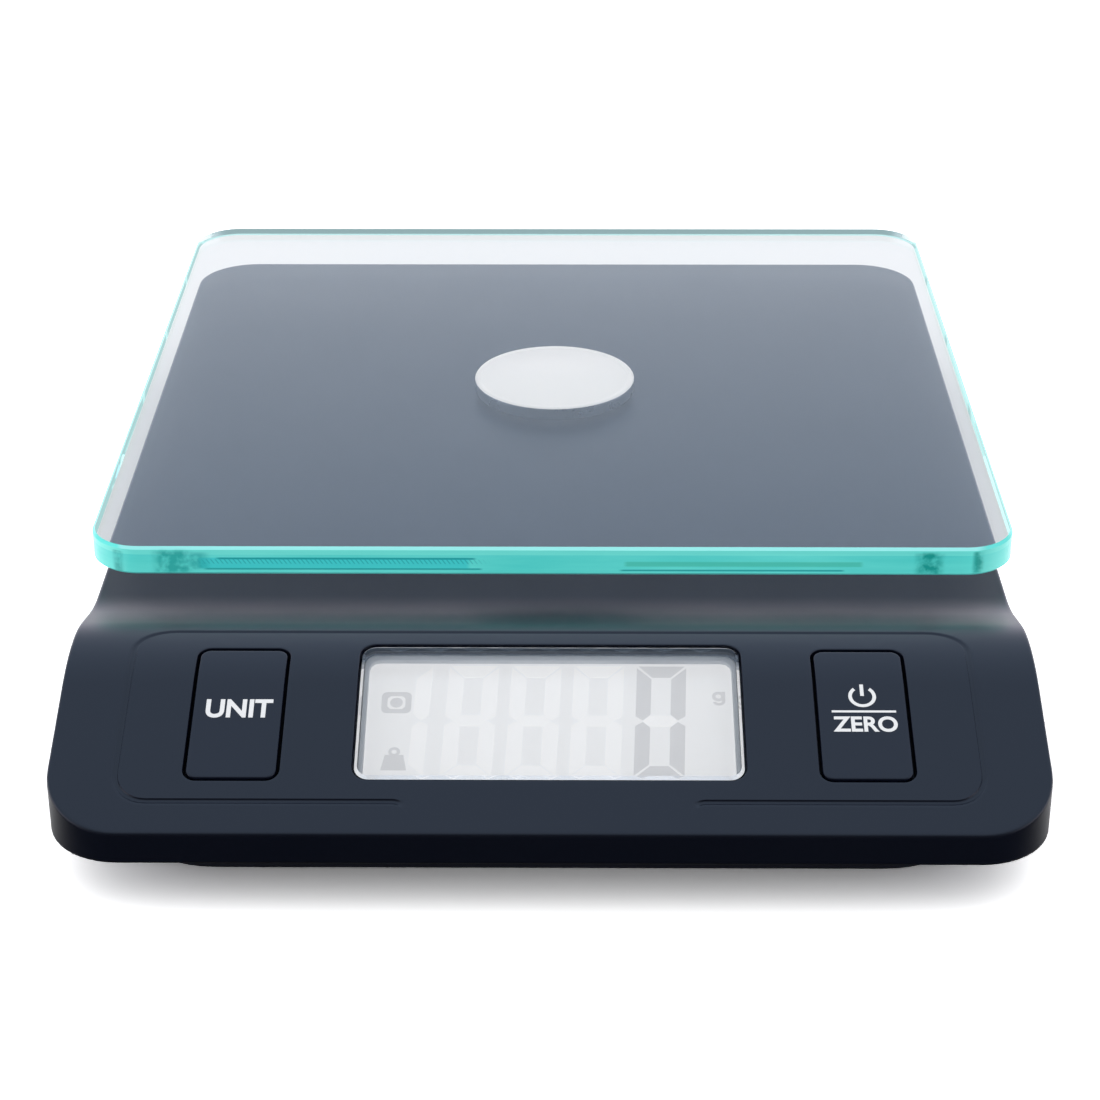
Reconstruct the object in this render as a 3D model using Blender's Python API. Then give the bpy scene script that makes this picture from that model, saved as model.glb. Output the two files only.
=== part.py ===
"""Digital gram scale with a square glass platform, built as an assembly of separate pieces.

Frame: +X to the right, +Y to the back, +Z up. The origin is on the surface the feet
stand on, under the middle of the whole outline. All sizes below are in millimetres and
are turned into metres when a mesh is made.
"""

import math

import bmesh
import bpy
from mathutils import Matrix, Vector

MM = 0.001
GAP = 0.3                      # space kept between pieces that touch on the real object

# Overall
OVERALL_LENGTH = 212.6
OVERALL_HEIGHT = 30.0
FRONT_Y = -OVERALL_LENGTH / 2
BACK_Y = OVERALL_LENGTH / 2

# Glass platform
GLASS_WIDTH = 152.0
GLASS_DEPTH = 152.5
GLASS_THICK = 5.0
GLASS_CORNER = 8.5
GLASS_CHAMFER = 0.45
GLASS_Y = BACK_Y - GLASS_DEPTH / 2
GLASS_BOTTOM = OVERALL_HEIGHT - GLASS_THICK

# Body shell
BODY_WIDTH = 148.8
BODY_BACK = 98.05
BODY_CORNER = 11.4
BODY_WALL = 2.2
TOP_WALL = 2.0
SKIRT_Z = 8.4
DECK_Z = 21.5

# Side profile: flat deck, a ramp up to a crest, then the sloping control panel
PANEL_SLOPE = math.radians(20.2)
RAMP_SLOPE = math.radians(15.5)
CREST_Y = -68.6
CREST_Z = 25.45
CREST_FRONT_RADIUS = 32.0
CREST_BACK_RADIUS = 26.0
RAMP_FOOT_RADIUS = 31.0

# Control panel features, in the panel's own axes: u right, v up the slope, w outwards
PANEL_Y = -84.0
LENS_HALF_U = 28.95
LENS_V = (-13.3, 13.6)
LENS_CORNER = 2.2
LENS_THICK = 2.0
LENS_CLEARANCE = 0.35
LENS_LEDGE = 0.6
COLLAR_WALL = 1.2
COLLAR_BOTTOM = -4.4
KEY_U = 47.15
KEY_WIDTH = 13.4
KEY_V = (-13.4, 12.3)
KEY_CORNER = 1.6
KEY_CLEARANCE = 0.5
KEY_LIP = 1.6
KEY_LIP_W = (-4.9, -3.7)

# Display stack under the lens (w values)
FRAME_HALF_U = 32.2
FRAME_V = (-14.4, 15.9)
FRAME_W = (-7.9, -4.7)
FRAME_LIP = 0.6
VIEW_HALF_U = 28.0
VIEW_V = (-12.6, 12.6)
LCD_HALF_U = 30.6
LCD_V = (-13.2, 15.0)
LCD_W = (-7.9, -5.6)
BACKLIGHT_HALF_U = 29.6
BACKLIGHT_V = (-13.4, 13.3)
BACKLIGHT_W = (-10.1, -8.2)
ZEBRA_HALF_U = 27.0
ZEBRA_V = (13.7, 14.9)
BOARD_HALF_U = 56.0
BOARD_V = (-12.8, 15.0)
BOARD_W = (-12.0, -10.4)
BOARD_SCREW_U = 35.2
BOARD_SCREW_V = 9.5

# Key switches
SWITCH_SIDE = 6.0
SWITCH_W = (-10.1, -6.2)
STEM_RADIUS = 1.7
STEM_W = (-6.6, -5.2)

# Bottom cover
FLANGE_INSET = BODY_WALL + 0.4
FLANGE_Z = (9.0, 10.8)
TUB_HALF_WIDTH = 66.0
TUB_FRONT = -97.7
TUB_BACK = 89.5
TUB_CORNER = 16.0
TUB_WALL = 2.0
TUB_BOTTOM = 1.7
TUB_FLOOR = TUB_BOTTOM + TUB_WALL
CASE_SCREW_XY = ((-52.0, -56.0), (52.0, -56.0), (-52.0, 50.0), (52.0, 50.0))
FOOT_XY = ((-52.0, -79.0), (52.0, -79.0), (-52.0, 73.0), (52.0, 73.0))
FOOT_RADIUS = 6.5
FOOT_HEIGHT = 2.5

# Load cell, under the middle of the glass
BEAM_LENGTH = 60.0
BEAM_WIDTH = 12.7
BEAM_Z = (5.0, 12.5)
BEAM_HOLE_RADIUS = 2.9
BEAM_HOLE_PITCH = 11.0
BEAM_BOLT_PITCH = 8.0
BEAM_BOLT_END = 4.0
BOLT_RADIUS = 2.0
BOLT_CLEARANCE = 0.4

# Platform stack
DISC_RADIUS = 15.0
DISC_Z = (22.9, 24.7)
DISC_RIM_BOTTOM = 22.2
DISC_RIM_INNER_RADIUS = 12.6
DISC_BOSS_RADIUS = 6.0
DISC_BOSS_BOTTOM = 19.0
HUB_RADIUS = 12.0
HUB_Z = (16.4, 22.6)
HUB_HOLE_RADIUS = 13.0
PLATE_Z = (14.6, 16.1)
PLATE_HALF_WIDTH = 13.0
SHIM_Z = (13.1, 14.3)

# Battery bay, at the back of the underside
BAY_HALF_X = 26.6
BAY_Y = (62.9, 87.4)
BAY_WALL_TOP = 14.0
CELL_RADIUS = 5.25
CELL_LENGTH = 43.7
CELL_NUB = 0.8
CELL_Y = (68.9, 80.1)
CELL_Z = 9.6
CONTACT_X = 25.3
DOOR_HALF_X = 25.7
DOOR_Y = (63.5, TUB_BACK)
DOOR_TONGUE = 1.7


# ---------------------------------------------------------------- small builders

def clear_scene():
    for item in list(bpy.data.objects):
        bpy.data.objects.remove(item, do_unlink=True)


def finish_material(name, color, roughness, metallic=0.0):
    mat = bpy.data.materials.new(name)
    mat.use_nodes = True
    shader = mat.node_tree.nodes["Principled BSDF"]
    shader.inputs["Base Color"].default_value = (*color, 1.0)
    shader.inputs["Roughness"].default_value = roughness
    shader.inputs["Metallic"].default_value = metallic
    return mat


def add_object(name, bm, mat=None):
    """Turn a bmesh drawn in millimetres into an object, shaded smooth with sharp edges."""
    bmesh.ops.recalc_face_normals(bm, faces=bm.faces[:])
    bmesh.ops.scale(bm, vec=(MM, MM, MM), verts=bm.verts[:])
    mesh = bpy.data.meshes.new(name)
    bm.to_mesh(mesh)
    bm.free()
    mesh.shade_smooth()
    mesh.set_sharp_from_angle(angle=math.radians(30))
    piece = bpy.data.objects.new(name, mesh)
    bpy.context.scene.collection.objects.link(piece)
    if mat is not None:
        mesh.materials.append(mat)
    return piece


def arc(center, radius, start, end, steps):
    """Points on an arc, angles in degrees."""
    points = []
    for i in range(steps + 1):
        angle = math.radians(start + (end - start) * i / steps)
        points.append((center[0] + radius * math.cos(angle),
                       center[1] + radius * math.sin(angle)))
    return points


def rounded_rect(x0, x1, y0, y1, radius, steps=6):
    """Anticlockwise outline of a rectangle with round corners."""
    points = arc((x1 - radius, y0 + radius), radius, -90, 0, steps)
    points += arc((x1 - radius, y1 - radius), radius, 0, 90, steps)
    points += arc((x0 + radius, y1 - radius), radius, 90, 180, steps)
    points += arc((x0 + radius, y0 + radius), radius, 180, 270, steps)
    return points


def circle(radius, center=(0.0, 0.0), steps=24):
    return arc(center, radius, 0, 360, steps)[:-1]


def rings_to_bmesh(rings):
    """Skin a stack of point rings that have the same count, and cap both ends."""
    bm = bmesh.new()
    loops = [[bm.verts.new(p) for p in ring] for ring in rings]
    count = len(loops[0])
    for low, high in zip(loops, loops[1:]):
        for i in range(count):
            j = (i + 1) % count
            bm.faces.new((low[i], low[j], high[j], high[i]))
    bm.faces.new(list(reversed(loops[0])))
    bm.faces.new(loops[-1])
    return bm


def prism(name, outline, z0, z1, mat=None):
    """Upright prism over a flat outline."""
    rings = [[(x, y, z) for x, y in outline] for z in (z0, z1)]
    return add_object(name, rings_to_bmesh(rings), mat)


def chamfered_prism(name, outline_at, z0, z1, chamfer, mat):
    """Prism whose top and bottom edges are chamfered; outline_at(inset) gives its outline."""
    heights = ((z0, chamfer), (z0 + chamfer, 0.0), (z1 - chamfer, 0.0), (z1, chamfer))
    rings = [[(x, y, z) for x, y in outline_at(inset)] for z, inset in heights]
    return add_object(name, rings_to_bmesh(rings), mat)


def block(name, x, y, z, mat=None):
    """Box between three pairs of limits."""
    outline = [(x[0], y[0]), (x[1], y[0]), (x[1], y[1]), (x[0], y[1])]
    return prism(name, outline, z[0], z[1], mat)


def rod_x(name, radius, x, y, z, mat=None, steps=20):
    """Round bar along X."""
    rings = [[(px, y + a, z + b) for a, b in circle(radius, steps=steps)] for px in x]
    return add_object(name, rings_to_bmesh(rings), mat)


def as_tool(piece):
    """A cutter or a guide that is not part of the object."""
    piece.hide_render = True
    piece.display_type = "WIRE"
    return piece


def boolean(piece, tool, operation):
    step = piece.modifiers.new(operation.lower(), "BOOLEAN")
    step.operation = operation
    step.solver = "EXACT"
    step.object = as_tool(tool)


def cut(piece, *tools):
    for tool in tools:
        boolean(piece, tool, "DIFFERENCE")


def fuse(piece, *tools):
    for tool in tools:
        boolean(piece, tool, "UNION")


def keep(piece, tool):
    boolean(piece, tool, "INTERSECT")


# ---------------------------------------------------------------- body surface

CREST_START = CREST_Y - CREST_FRONT_RADIUS * math.sin(PANEL_SLOPE)
CREST_START_Z = CREST_Z - CREST_FRONT_RADIUS * (1 - math.cos(PANEL_SLOPE))
RAMP_TOP = CREST_Y + CREST_BACK_RADIUS * math.sin(RAMP_SLOPE)
RAMP_TOP_Z = CREST_Z - CREST_BACK_RADIUS * (1 - math.cos(RAMP_SLOPE))
FOOT_RISE = RAMP_FOOT_RADIUS * (1 - math.cos(RAMP_SLOPE))
RAMP_END = RAMP_TOP + (RAMP_TOP_Z - DECK_Z - FOOT_RISE) / math.tan(RAMP_SLOPE)
DECK_START = RAMP_END + RAMP_FOOT_RADIUS * math.sin(RAMP_SLOPE)


def surface_point(y):
    """Height and slope angle of the top cover's outer surface at y."""
    if y < CREST_START:
        return CREST_START_Z + (y - CREST_START) * math.tan(PANEL_SLOPE), PANEL_SLOPE
    if y < CREST_Y:
        angle = math.asin((CREST_Y - y) / CREST_FRONT_RADIUS)
        return CREST_Z - CREST_FRONT_RADIUS * (1 - math.cos(angle)), angle
    if y < RAMP_TOP:
        angle = math.asin((y - CREST_Y) / CREST_BACK_RADIUS)
        return CREST_Z - CREST_BACK_RADIUS * (1 - math.cos(angle)), -angle
    if y < RAMP_END:
        return RAMP_TOP_Z - (y - RAMP_TOP) * math.tan(RAMP_SLOPE), -RAMP_SLOPE
    if y < DECK_START:
        angle = math.asin((DECK_START - y) / RAMP_FOOT_RADIUS)
        return DECK_Z + RAMP_FOOT_RADIUS * (1 - math.cos(angle)), -angle
    return DECK_Z, 0.0


def surface_stations(y0, y1):
    """Places along Y that describe the curved surface well."""
    stations = [y0]
    for start, end, count in ((CREST_START, CREST_Y, 7), (CREST_Y, RAMP_TOP, 4),
                              (RAMP_TOP, RAMP_END, 1), (RAMP_END, DECK_START, 5)):
        for i in range(count):
            stations.append(start + (end - start) * i / count)
    stations.append(DECK_START)
    inside = [y for y in stations if y0 <= y < y1]
    return inside + [y1]


def surface_block(name, y0, y1, half_x, depth, floor=None):
    """Solid under the body surface lowered by depth, down to floor or by LENS_THICK more."""
    top = []
    under = []
    for y in surface_stations(y0, y1):
        z, angle = surface_point(y)
        top.append((y, z - depth / math.cos(angle)))
        under.append((y, z - (depth + LENS_THICK) / math.cos(angle)))
    if floor is not None:
        under = [(y0, floor), (y1, floor)]
    outline = top + list(reversed(under))
    rings = [[(x, y, z) for y, z in outline] for x in (-half_x, half_x)]
    return add_object(name, rings_to_bmesh(rings))


PANEL_Z = surface_point(PANEL_Y)[0]
PANEL_FRAME = Matrix.Translation((0, PANEL_Y * MM, PANEL_Z * MM)) @ Matrix.Rotation(PANEL_SLOPE, 4, "X")


def on_panel(piece):
    """Stand a piece, drawn in u, v and w, on the sloping control panel."""
    piece.location = PANEL_FRAME.to_translation()
    piece.rotation_euler = PANEL_FRAME.to_euler()
    return piece


def panel_prism(name, half_u, v, w, corner, mat=None, center_u=0.0, steps=4):
    outline = rounded_rect(center_u - half_u, center_u + half_u, v[0], v[1], corner, steps)
    return on_panel(prism(name, outline, w[0], w[1], mat))


def panel_rod(name, radius, u, v, w, mat=None, steps=16):
    return on_panel(prism(name, circle(radius, (u, v), steps), w[0], w[1], mat))


def grown(limits, amount):
    return (limits[0] - amount, limits[1] + amount)


# ---------------------------------------------------------------- casings

def build_top_cover(mat):
    """Moulded shell: deck, crest and control panel, with skirt, collars and screw bosses."""
    half = BODY_WIDTH / 2
    outline = rounded_rect(-half, half, FRONT_Y, BODY_BACK, BODY_CORNER, 8)
    cover = prism("top_cover", outline, SKIRT_Z, OVERALL_HEIGHT, mat)
    keep(cover, surface_block("cover_outside", FRONT_Y - 1, BODY_BACK + 1, half + 1, 0.0, SKIRT_Z - 1))

    inner = rounded_rect(-half + BODY_WALL, half - BODY_WALL, FRONT_Y + BODY_WALL,
                         BODY_BACK - BODY_WALL, BODY_CORNER - BODY_WALL, 8)
    hollow = prism("cover_hollow", inner, SKIRT_Z - 1, OVERALL_HEIGHT)
    keep(hollow, surface_block("cover_inside", FRONT_Y + 1, BODY_BACK - 1, half - 1, TOP_WALL, SKIRT_Z - 2))
    cut(cover, hollow)

    opening_u = LENS_HALF_U + LENS_CLEARANCE
    opening_v = grown(LENS_V, LENS_CLEARANCE)
    collar = panel_prism("lens_collar", opening_u + COLLAR_WALL, grown(opening_v, COLLAR_WALL),
                         (COLLAR_BOTTOM, -0.9), LENS_CORNER + COLLAR_WALL)
    keep(collar, surface_block("collar_limit", FRONT_Y, 0, half, 1.0, 0))
    fuse(cover, collar)
    for side in (-1, 1):
        for v in (-BOARD_SCREW_V, BOARD_SCREW_V):
            tag = f"{'left' if side < 0 else 'right'}_{'low' if v < 0 else 'high'}"
            boss = panel_rod(f"board_boss_{tag}", 2.5, side * BOARD_SCREW_U, v,
                             (BOARD_W[1] + GAP, -1.5))
            keep(boss, surface_block(f"board_boss_limit_{tag}", FRONT_Y, 0, half, 1.0, 0))
            fuse(cover, boss)
            cut(cover, panel_rod(f"board_boss_hole_{tag}", 1.4, side * BOARD_SCREW_U, v,
                                 (BOARD_W[1] - 1, BOARD_W[1] + 6.3)))
    for index, (x, y) in enumerate(CASE_SCREW_XY):
        top = surface_point(y)[0] - 1.0
        fuse(cover, prism(f"case_boss_{index}", circle(3.5, (x, y), 16), 12.4, top))
        cut(cover, prism(f"case_boss_hole_{index}", circle(1.6, (x, y), 16), 11.0, 17.6))

    pocket = panel_prism("lens_pocket", opening_u, opening_v, (-8, 6), LENS_CORNER + LENS_CLEARANCE)
    keep(pocket, lens_pocket_limit())
    through = panel_prism("lens_through", opening_u - LENS_LEDGE, grown(opening_v, -LENS_LEDGE),
                          (-8, 6), LENS_CORNER)
    cut(cover, pocket, through)
    for side in (-1, 1):
        cut(cover, panel_prism(f"key_opening_{side}", KEY_WIDTH / 2 + KEY_CLEARANCE,
                               grown(KEY_V, KEY_CLEARANCE), (-8, 6), KEY_CORNER + KEY_CLEARANCE,
                               center_u=side * KEY_U))
    cut(cover, prism("hub_hole", circle(HUB_HOLE_RADIUS, (0, GLASS_Y), 32), 15, 28))
    return cover


def lens_pocket_limit():
    """Everything above the ledge that the lens rests on."""
    y0, y1 = FRONT_Y, -40.0
    ledge = []
    for y in surface_stations(y0, y1):
        z, angle = surface_point(y)
        ledge.append((y, z - (LENS_THICK + GAP) / math.cos(angle)))
    outline = ledge + [(y1, 40.0), (y0, 40.0)]
    rings = [[(x, y, z) for y, z in outline] for x in (-60.0, 60.0)]
    return add_object("lens_pocket_limit", rings_to_bmesh(rings))


def tub_outline(inset, steps=8):
    return rounded_rect(-TUB_HALF_WIDTH + inset, TUB_HALF_WIDTH - inset, TUB_FRONT + inset,
                        TUB_BACK - inset, TUB_CORNER - inset, steps)


def build_bottom_cover(mat):
    """Moulded tray: a closing flange, a tub, posts for screws, load cell and batteries."""
    half = BODY_WIDTH / 2 - FLANGE_INSET
    flange = rounded_rect(-half, half, FRONT_Y + FLANGE_INSET, BODY_BACK - FLANGE_INSET,
                          BODY_CORNER - FLANGE_INSET, 8)
    cover = prism("bottom_cover", flange, FLANGE_Z[0], FLANGE_Z[1], mat)
    fuse(cover, prism("tub_outside", tub_outline(0.0), TUB_BOTTOM, FLANGE_Z[0] + 0.5))
    cut(cover, prism("tub_inside", tub_outline(TUB_WALL), TUB_FLOOR, FLANGE_Z[1] + 1))

    front_end = GLASS_Y - BEAM_LENGTH / 2
    fuse(cover, block("beam_pad", (-8, 8), (front_end - 1, front_end + 17),
                      (TUB_BOTTOM + 1, BEAM_Z[0] - GAP)))
    fuse(cover, block("overload_stop", (-5, 5), (GLASS_Y + 22, GLASS_Y + 29),
                      (TUB_BOTTOM + 1, BEAM_Z[0] - 0.4)))
    for index, (x, y) in enumerate(CASE_SCREW_XY):
        fuse(cover, prism(f"case_post_{index}", circle(4.6, (x, y), 20), TUB_BOTTOM + 1, 12.0))
        cut(cover, prism(f"case_counterbore_{index}", circle(3.3, (x, y), 20), 0, 9.4))
        cut(cover, prism(f"case_post_hole_{index}", circle(1.7, (x, y), 16), 9, 13))
    for index, (x, y) in enumerate(FOOT_XY):
        cut(cover, prism(f"foot_recess_{index}", circle(FOOT_RADIUS + GAP, (x, y), 28), 0, FOOT_HEIGHT + GAP))
    for index, y in enumerate(beam_bolt_places()[:2]):
        cut(cover, prism(f"beam_counterbore_{index}", circle(3.6, (0, y), 20), 0, 3.4))
        cut(cover, prism(f"beam_pad_hole_{index}", circle(BOLT_RADIUS + BOLT_CLEARANCE, (0, y), 20), 3, 6))

    wall_x = (BAY_HALF_X, BAY_HALF_X + 2.2)
    for side in (-1, 1):
        x = sorted(side * value for value in wall_x)
        fuse(cover, block(f"bay_side_{side}", x, (BAY_Y[0] - 1, BAY_Y[1] + 0.6),
                          (TUB_FLOOR - 0.5, BAY_WALL_TOP)))
    fuse(cover, block("bay_front", (-wall_x[1], wall_x[1]), (BAY_Y[0] - 1.2, BAY_Y[0]),
                      (TUB_FLOOR - 0.5, BAY_WALL_TOP)))
    lower = DOOR_HALF_X + GAP
    upper = lower + DOOR_TONGUE
    cut(cover, block("door_opening", (-lower, lower), (DOOR_Y[0] - GAP, BACK_Y), (0, TUB_FLOOR + GAP)))
    cut(cover, block("door_rails", (-upper, upper), (DOOR_Y[0] - GAP, BACK_Y), (2.4, TUB_FLOOR + GAP)))
    cut(cover, block("door_end", (-lower, lower), (TUB_BACK - TUB_WALL - 0.2, BACK_Y), (0, 7.8)))
    return cover


# ---------------------------------------------------------------- platform and load cell

def glass_outline(inset):
    half_x = GLASS_WIDTH / 2 - inset
    half_y = GLASS_DEPTH / 2 - inset
    return rounded_rect(-half_x, half_x, GLASS_Y - half_y, GLASS_Y + half_y, GLASS_CORNER - inset, 8)


def beam_bolt_places():
    """Y of the two fixed-end bolts and the two free-end bolts."""
    front = GLASS_Y - BEAM_LENGTH / 2 + BEAM_BOLT_END
    back = GLASS_Y + BEAM_LENGTH / 2 - BEAM_BOLT_END
    return [front, front + BEAM_BOLT_PITCH, back - BEAM_BOLT_PITCH, back]


def build_platform(mats):
    """Glass plate, the disc bonded under it, the hub through the deck, and the load plate."""
    chamfered_prism("glass_platform", glass_outline, GLASS_BOTTOM, OVERALL_HEIGHT, GLASS_CHAMFER,
                    mats["glass"])
    center = (0.0, GLASS_Y)
    disc = prism("platform_disc", circle(DISC_RADIUS, center, 48), DISC_RIM_BOTTOM, DISC_Z[1],
                 mats["aluminium"])
    cut(disc, prism("disc_recess", circle(DISC_RIM_INNER_RADIUS, center, 48), DISC_RIM_BOTTOM - 1, DISC_Z[0]))
    fuse(disc, prism("disc_boss", circle(DISC_BOSS_RADIUS, center, 32), DISC_BOSS_BOTTOM, DISC_Z[0] + 0.5))
    cut(disc, prism("disc_boss_hole", circle(1.85, center, 16), 18, 22.5))

    hub = prism("platform_hub", circle(HUB_RADIUS, center, 48), HUB_Z[0], HUB_Z[1], mats["black_plastic"])
    cut(hub, prism("hub_socket", circle(DISC_BOSS_RADIUS + GAP, center, 32), DISC_BOSS_BOTTOM - GAP, 24),
        prism("hub_bore", circle(1.9, center, 16), 15, 20))

    free = beam_bolt_places()[2:]
    plate_y = (GLASS_Y - 13.0, GLASS_Y + BEAM_LENGTH / 2)
    outline = rounded_rect(-PLATE_HALF_WIDTH, PLATE_HALF_WIDTH, plate_y[0], plate_y[1], 3.0, 4)
    plate = prism("load_plate", outline, PLATE_Z[0], PLATE_Z[1], mats["steel"])
    cut(plate, prism("plate_center_hole", circle(1.9, center, 16), 13, 18))
    shim = block("load_shim", (-6.2, 6.2), (free[0] - 3.8, free[1] + 3.6), SHIM_Z, mats["steel"])
    for index, y in enumerate(free):
        cut(plate, prism(f"plate_hole_{index}", circle(2.3, (0, y), 16), 13, 18))
        cut(shim, prism(f"shim_hole_{index}", circle(2.4, (0, y), 16), 12, 15))
        screw(f"load_plate_screw_{index + 1}", (0, y), 3.2, (16.4, 18.4), BOLT_RADIUS, 7.5, mats["steel"])
    screw("hub_screw", center, 3.0, (12.9, 14.3), 1.5, 22.1, mats["steel"])


def screw(name, center, head_radius, head_z, shank_radius, shank_end, mat):
    """Plain round-headed screw; its shank runs from the head to shank_end, up or down."""
    head = prism(name, circle(head_radius, center, 20), head_z[0], head_z[1], mat)
    if shank_end > head_z[1]:
        span = (head_z[1] - 0.4, shank_end)
    else:
        span = (shank_end, head_z[0] + 0.4)
    fuse(head, prism(f"{name}_shank", circle(shank_radius, center, 14), span[0], span[1]))
    return head


def build_load_cell(mats):
    """Aluminium single-point load cell with its gauges, bolted down at the front end."""
    half = BEAM_WIDTH / 2
    ends = (GLASS_Y - BEAM_LENGTH / 2, GLASS_Y + BEAM_LENGTH / 2)
    beam = block("load_cell_beam", (-half, half), ends, BEAM_Z, mats["aluminium"])
    middle = sum(BEAM_Z) / 2
    across = (-half - 1, half + 1)
    for index, side in enumerate((-1, 1)):
        y = GLASS_Y + side * BEAM_HOLE_PITCH / 2
        cut(beam, rod_x(f"beam_hole_{index}", BEAM_HOLE_RADIUS, across, y, middle, steps=24))
    slot = (GLASS_Y - BEAM_HOLE_PITCH / 2, GLASS_Y + BEAM_HOLE_PITCH / 2)
    cut(beam, block("beam_slot", across, slot, (middle - 1.0, middle + 1.0)))
    for index, y in enumerate(beam_bolt_places()):
        cut(beam, prism(f"beam_bolt_hole_{index}", circle(BOLT_RADIUS + BOLT_CLEARANCE, (0, y), 20), 4, 14))
    for index, y in enumerate(beam_bolt_places()[:2]):
        screw(f"load_cell_screw_{index + 1}", (0, y), 3.2, (1.7, 3.1), BOLT_RADIUS, 11.0, mats["steel"])

    reach = BEAM_HOLE_PITCH / 2
    pad_top = (BEAM_Z[1] + GAP, BEAM_Z[1] + 0.9)
    pad_under = (BEAM_Z[0] - 0.9, BEAM_Z[0] - GAP)
    pads = (((GLASS_Y - reach - 4, GLASS_Y - reach + 2), pad_top),
            ((GLASS_Y + reach - 2, GLASS_Y + reach + 4), pad_top),
            ((GLASS_Y - reach - 3, GLASS_Y + reach + 3), pad_under))
    for index, (y, z) in enumerate(pads):
        outline = rounded_rect(-4.5, 4.5, y[0], y[1], 1.5, 3)
        prism(f"gauge_pad_{index + 1}", outline, z[0], z[1], mats["silicone"])


# ---------------------------------------------------------------- control panel pieces

def build_display(mats):
    """Clear lens flush with the panel, and the display, its frame and its backlight below."""
    lens = panel_prism("display_lens", LENS_HALF_U, LENS_V, (-8, 6), LENS_CORNER, mats["lens"])
    keep(lens, surface_block("lens_limit", FRONT_Y, -40, 60, 0.0))

    frame = panel_prism("display_frame", FRAME_HALF_U, FRAME_V, FRAME_W, 0.8, mats["white_plastic"])
    cut(frame,
        panel_prism("frame_pocket", LCD_HALF_U + GAP, grown(LCD_V, GAP),
                    (FRAME_W[0] - 1, FRAME_W[1] - FRAME_LIP), 0.4),
        panel_prism("frame_view", VIEW_HALF_U, VIEW_V, (-9, 0), 1.6))
    panel_prism("lcd_glass", LCD_HALF_U, LCD_V, LCD_W, 0.3, mats["display"], steps=1)
    panel_prism("backlight", BACKLIGHT_HALF_U, BACKLIGHT_V, BACKLIGHT_W, 0.5, mats["white_plastic"], steps=1)
    panel_prism("zebra_strip", ZEBRA_HALF_U, ZEBRA_V, BACKLIGHT_W, 0.2, mats["silicone"], steps=1)


def build_board(mats):
    """Circuit board hung from the top cover, its parts, and the two key switches."""
    board = panel_prism("main_board", BOARD_HALF_U, BOARD_V, BOARD_W, 2.0, mats["board"])
    for side in (-1, 1):
        for v in (-BOARD_SCREW_V, BOARD_SCREW_V):
            u = side * BOARD_SCREW_U
            number = 1 + (side > 0) + 2 * (v > 0)
            cut(board, panel_rod(f"board_hole_{number}", 1.6, u, v, (-14, -9)))
            head = panel_rod(f"board_screw_{number}", 2.3, u, v,
                             (BOARD_W[0] - 1.7, BOARD_W[0] - GAP), mats["steel"])
            fuse(head, panel_rod(f"board_screw_shank_{number}", 1.05, u, v,
                                 (BOARD_W[0] - 0.6, BOARD_W[1] + 5.5), steps=12))
    dome = [(4.5, BOARD_W[0] - GAP), (4.2, BOARD_W[0] - 0.9),
            (2.8, BOARD_W[0] - 1.5), (0.9, BOARD_W[0] - 1.8)]
    rings = [[(x, y, w) for x, y in circle(radius, (-8.0, 2.0), 20)] for radius, w in dome]
    on_panel(add_object("controller_blob", rings_to_bmesh(rings), mats["black_plastic"]))
    panel_rod("capacitor", 2.5, 24.0, 6.0, (BOARD_W[0] - 5.8, BOARD_W[0] - GAP), mats["aluminium"])

    for name, side in (("unit", -1), ("zero", 1)):
        u = side * KEY_U
        v = sum(KEY_V) / 2
        body = panel_prism(f"{name}_switch_body", SWITCH_SIDE / 2, (v - SWITCH_SIDE / 2, v + SWITCH_SIDE / 2),
                           SWITCH_W, 0.3, mats["black_plastic"], center_u=u, steps=1)
        cut(body, panel_rod(f"{name}_switch_well", STEM_RADIUS + 0.4, u, v, (STEM_W[0] - 0.9, 0)))
        panel_rod(f"{name}_switch_stem", STEM_RADIUS, u, v, STEM_W, mats["white_plastic"])


def build_key(name, side, mat):
    """Key cap, flush with the panel, with a lip that keeps it under the cover."""
    u = side * KEY_U
    key = panel_prism(name, KEY_WIDTH / 2, KEY_V, (KEY_LIP_W[0] + 0.5, 6), KEY_CORNER, mat, u)
    keep(key, surface_block(f"{name}_limit", FRONT_Y, -40, 80, 0.0, 0))
    lip = panel_prism(f"{name}_lip", KEY_WIDTH / 2 + KEY_LIP, grown(KEY_V, KEY_LIP), KEY_LIP_W,
                      KEY_CORNER, center_u=u)
    fuse(key, lip)


# ---------------------------------------------------------------- underside and power

def build_fasteners_and_feet(mats):
    for index, (x, y) in enumerate(CASE_SCREW_XY):
        screw(f"case_screw_{index + 1}", (x, y), 2.8, (7.6, 9.1), 1.2, 17.0, mats["steel"])
    for index, (x, y) in enumerate(FOOT_XY):
        def outline_at(inset, x=x, y=y):
            return circle(FOOT_RADIUS - inset, (x, y), 28)
        chamfered_prism(f"foot_{index + 1}", outline_at, 0.0, FOOT_HEIGHT, 0.5, mats["rubber"])


def battery(name, y, nub_side, mat):
    """Small cylindrical cell with its raised end towards nub_side."""
    start = -19.6
    stops = [(start, CELL_RADIUS - 0.4), (start + 0.4, CELL_RADIUS),
             (start + CELL_LENGTH - 0.5, CELL_RADIUS), (start + CELL_LENGTH, CELL_RADIUS - 0.5),
             (start + CELL_LENGTH, 1.9), (start + CELL_LENGTH + CELL_NUB, 1.9)]
    rings = [[(nub_side * x, y + a, CELL_Z + b) for a, b in circle(radius, steps=24)] for x, radius in stops]
    return add_object(name, rings_to_bmesh(rings), mat)


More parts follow.
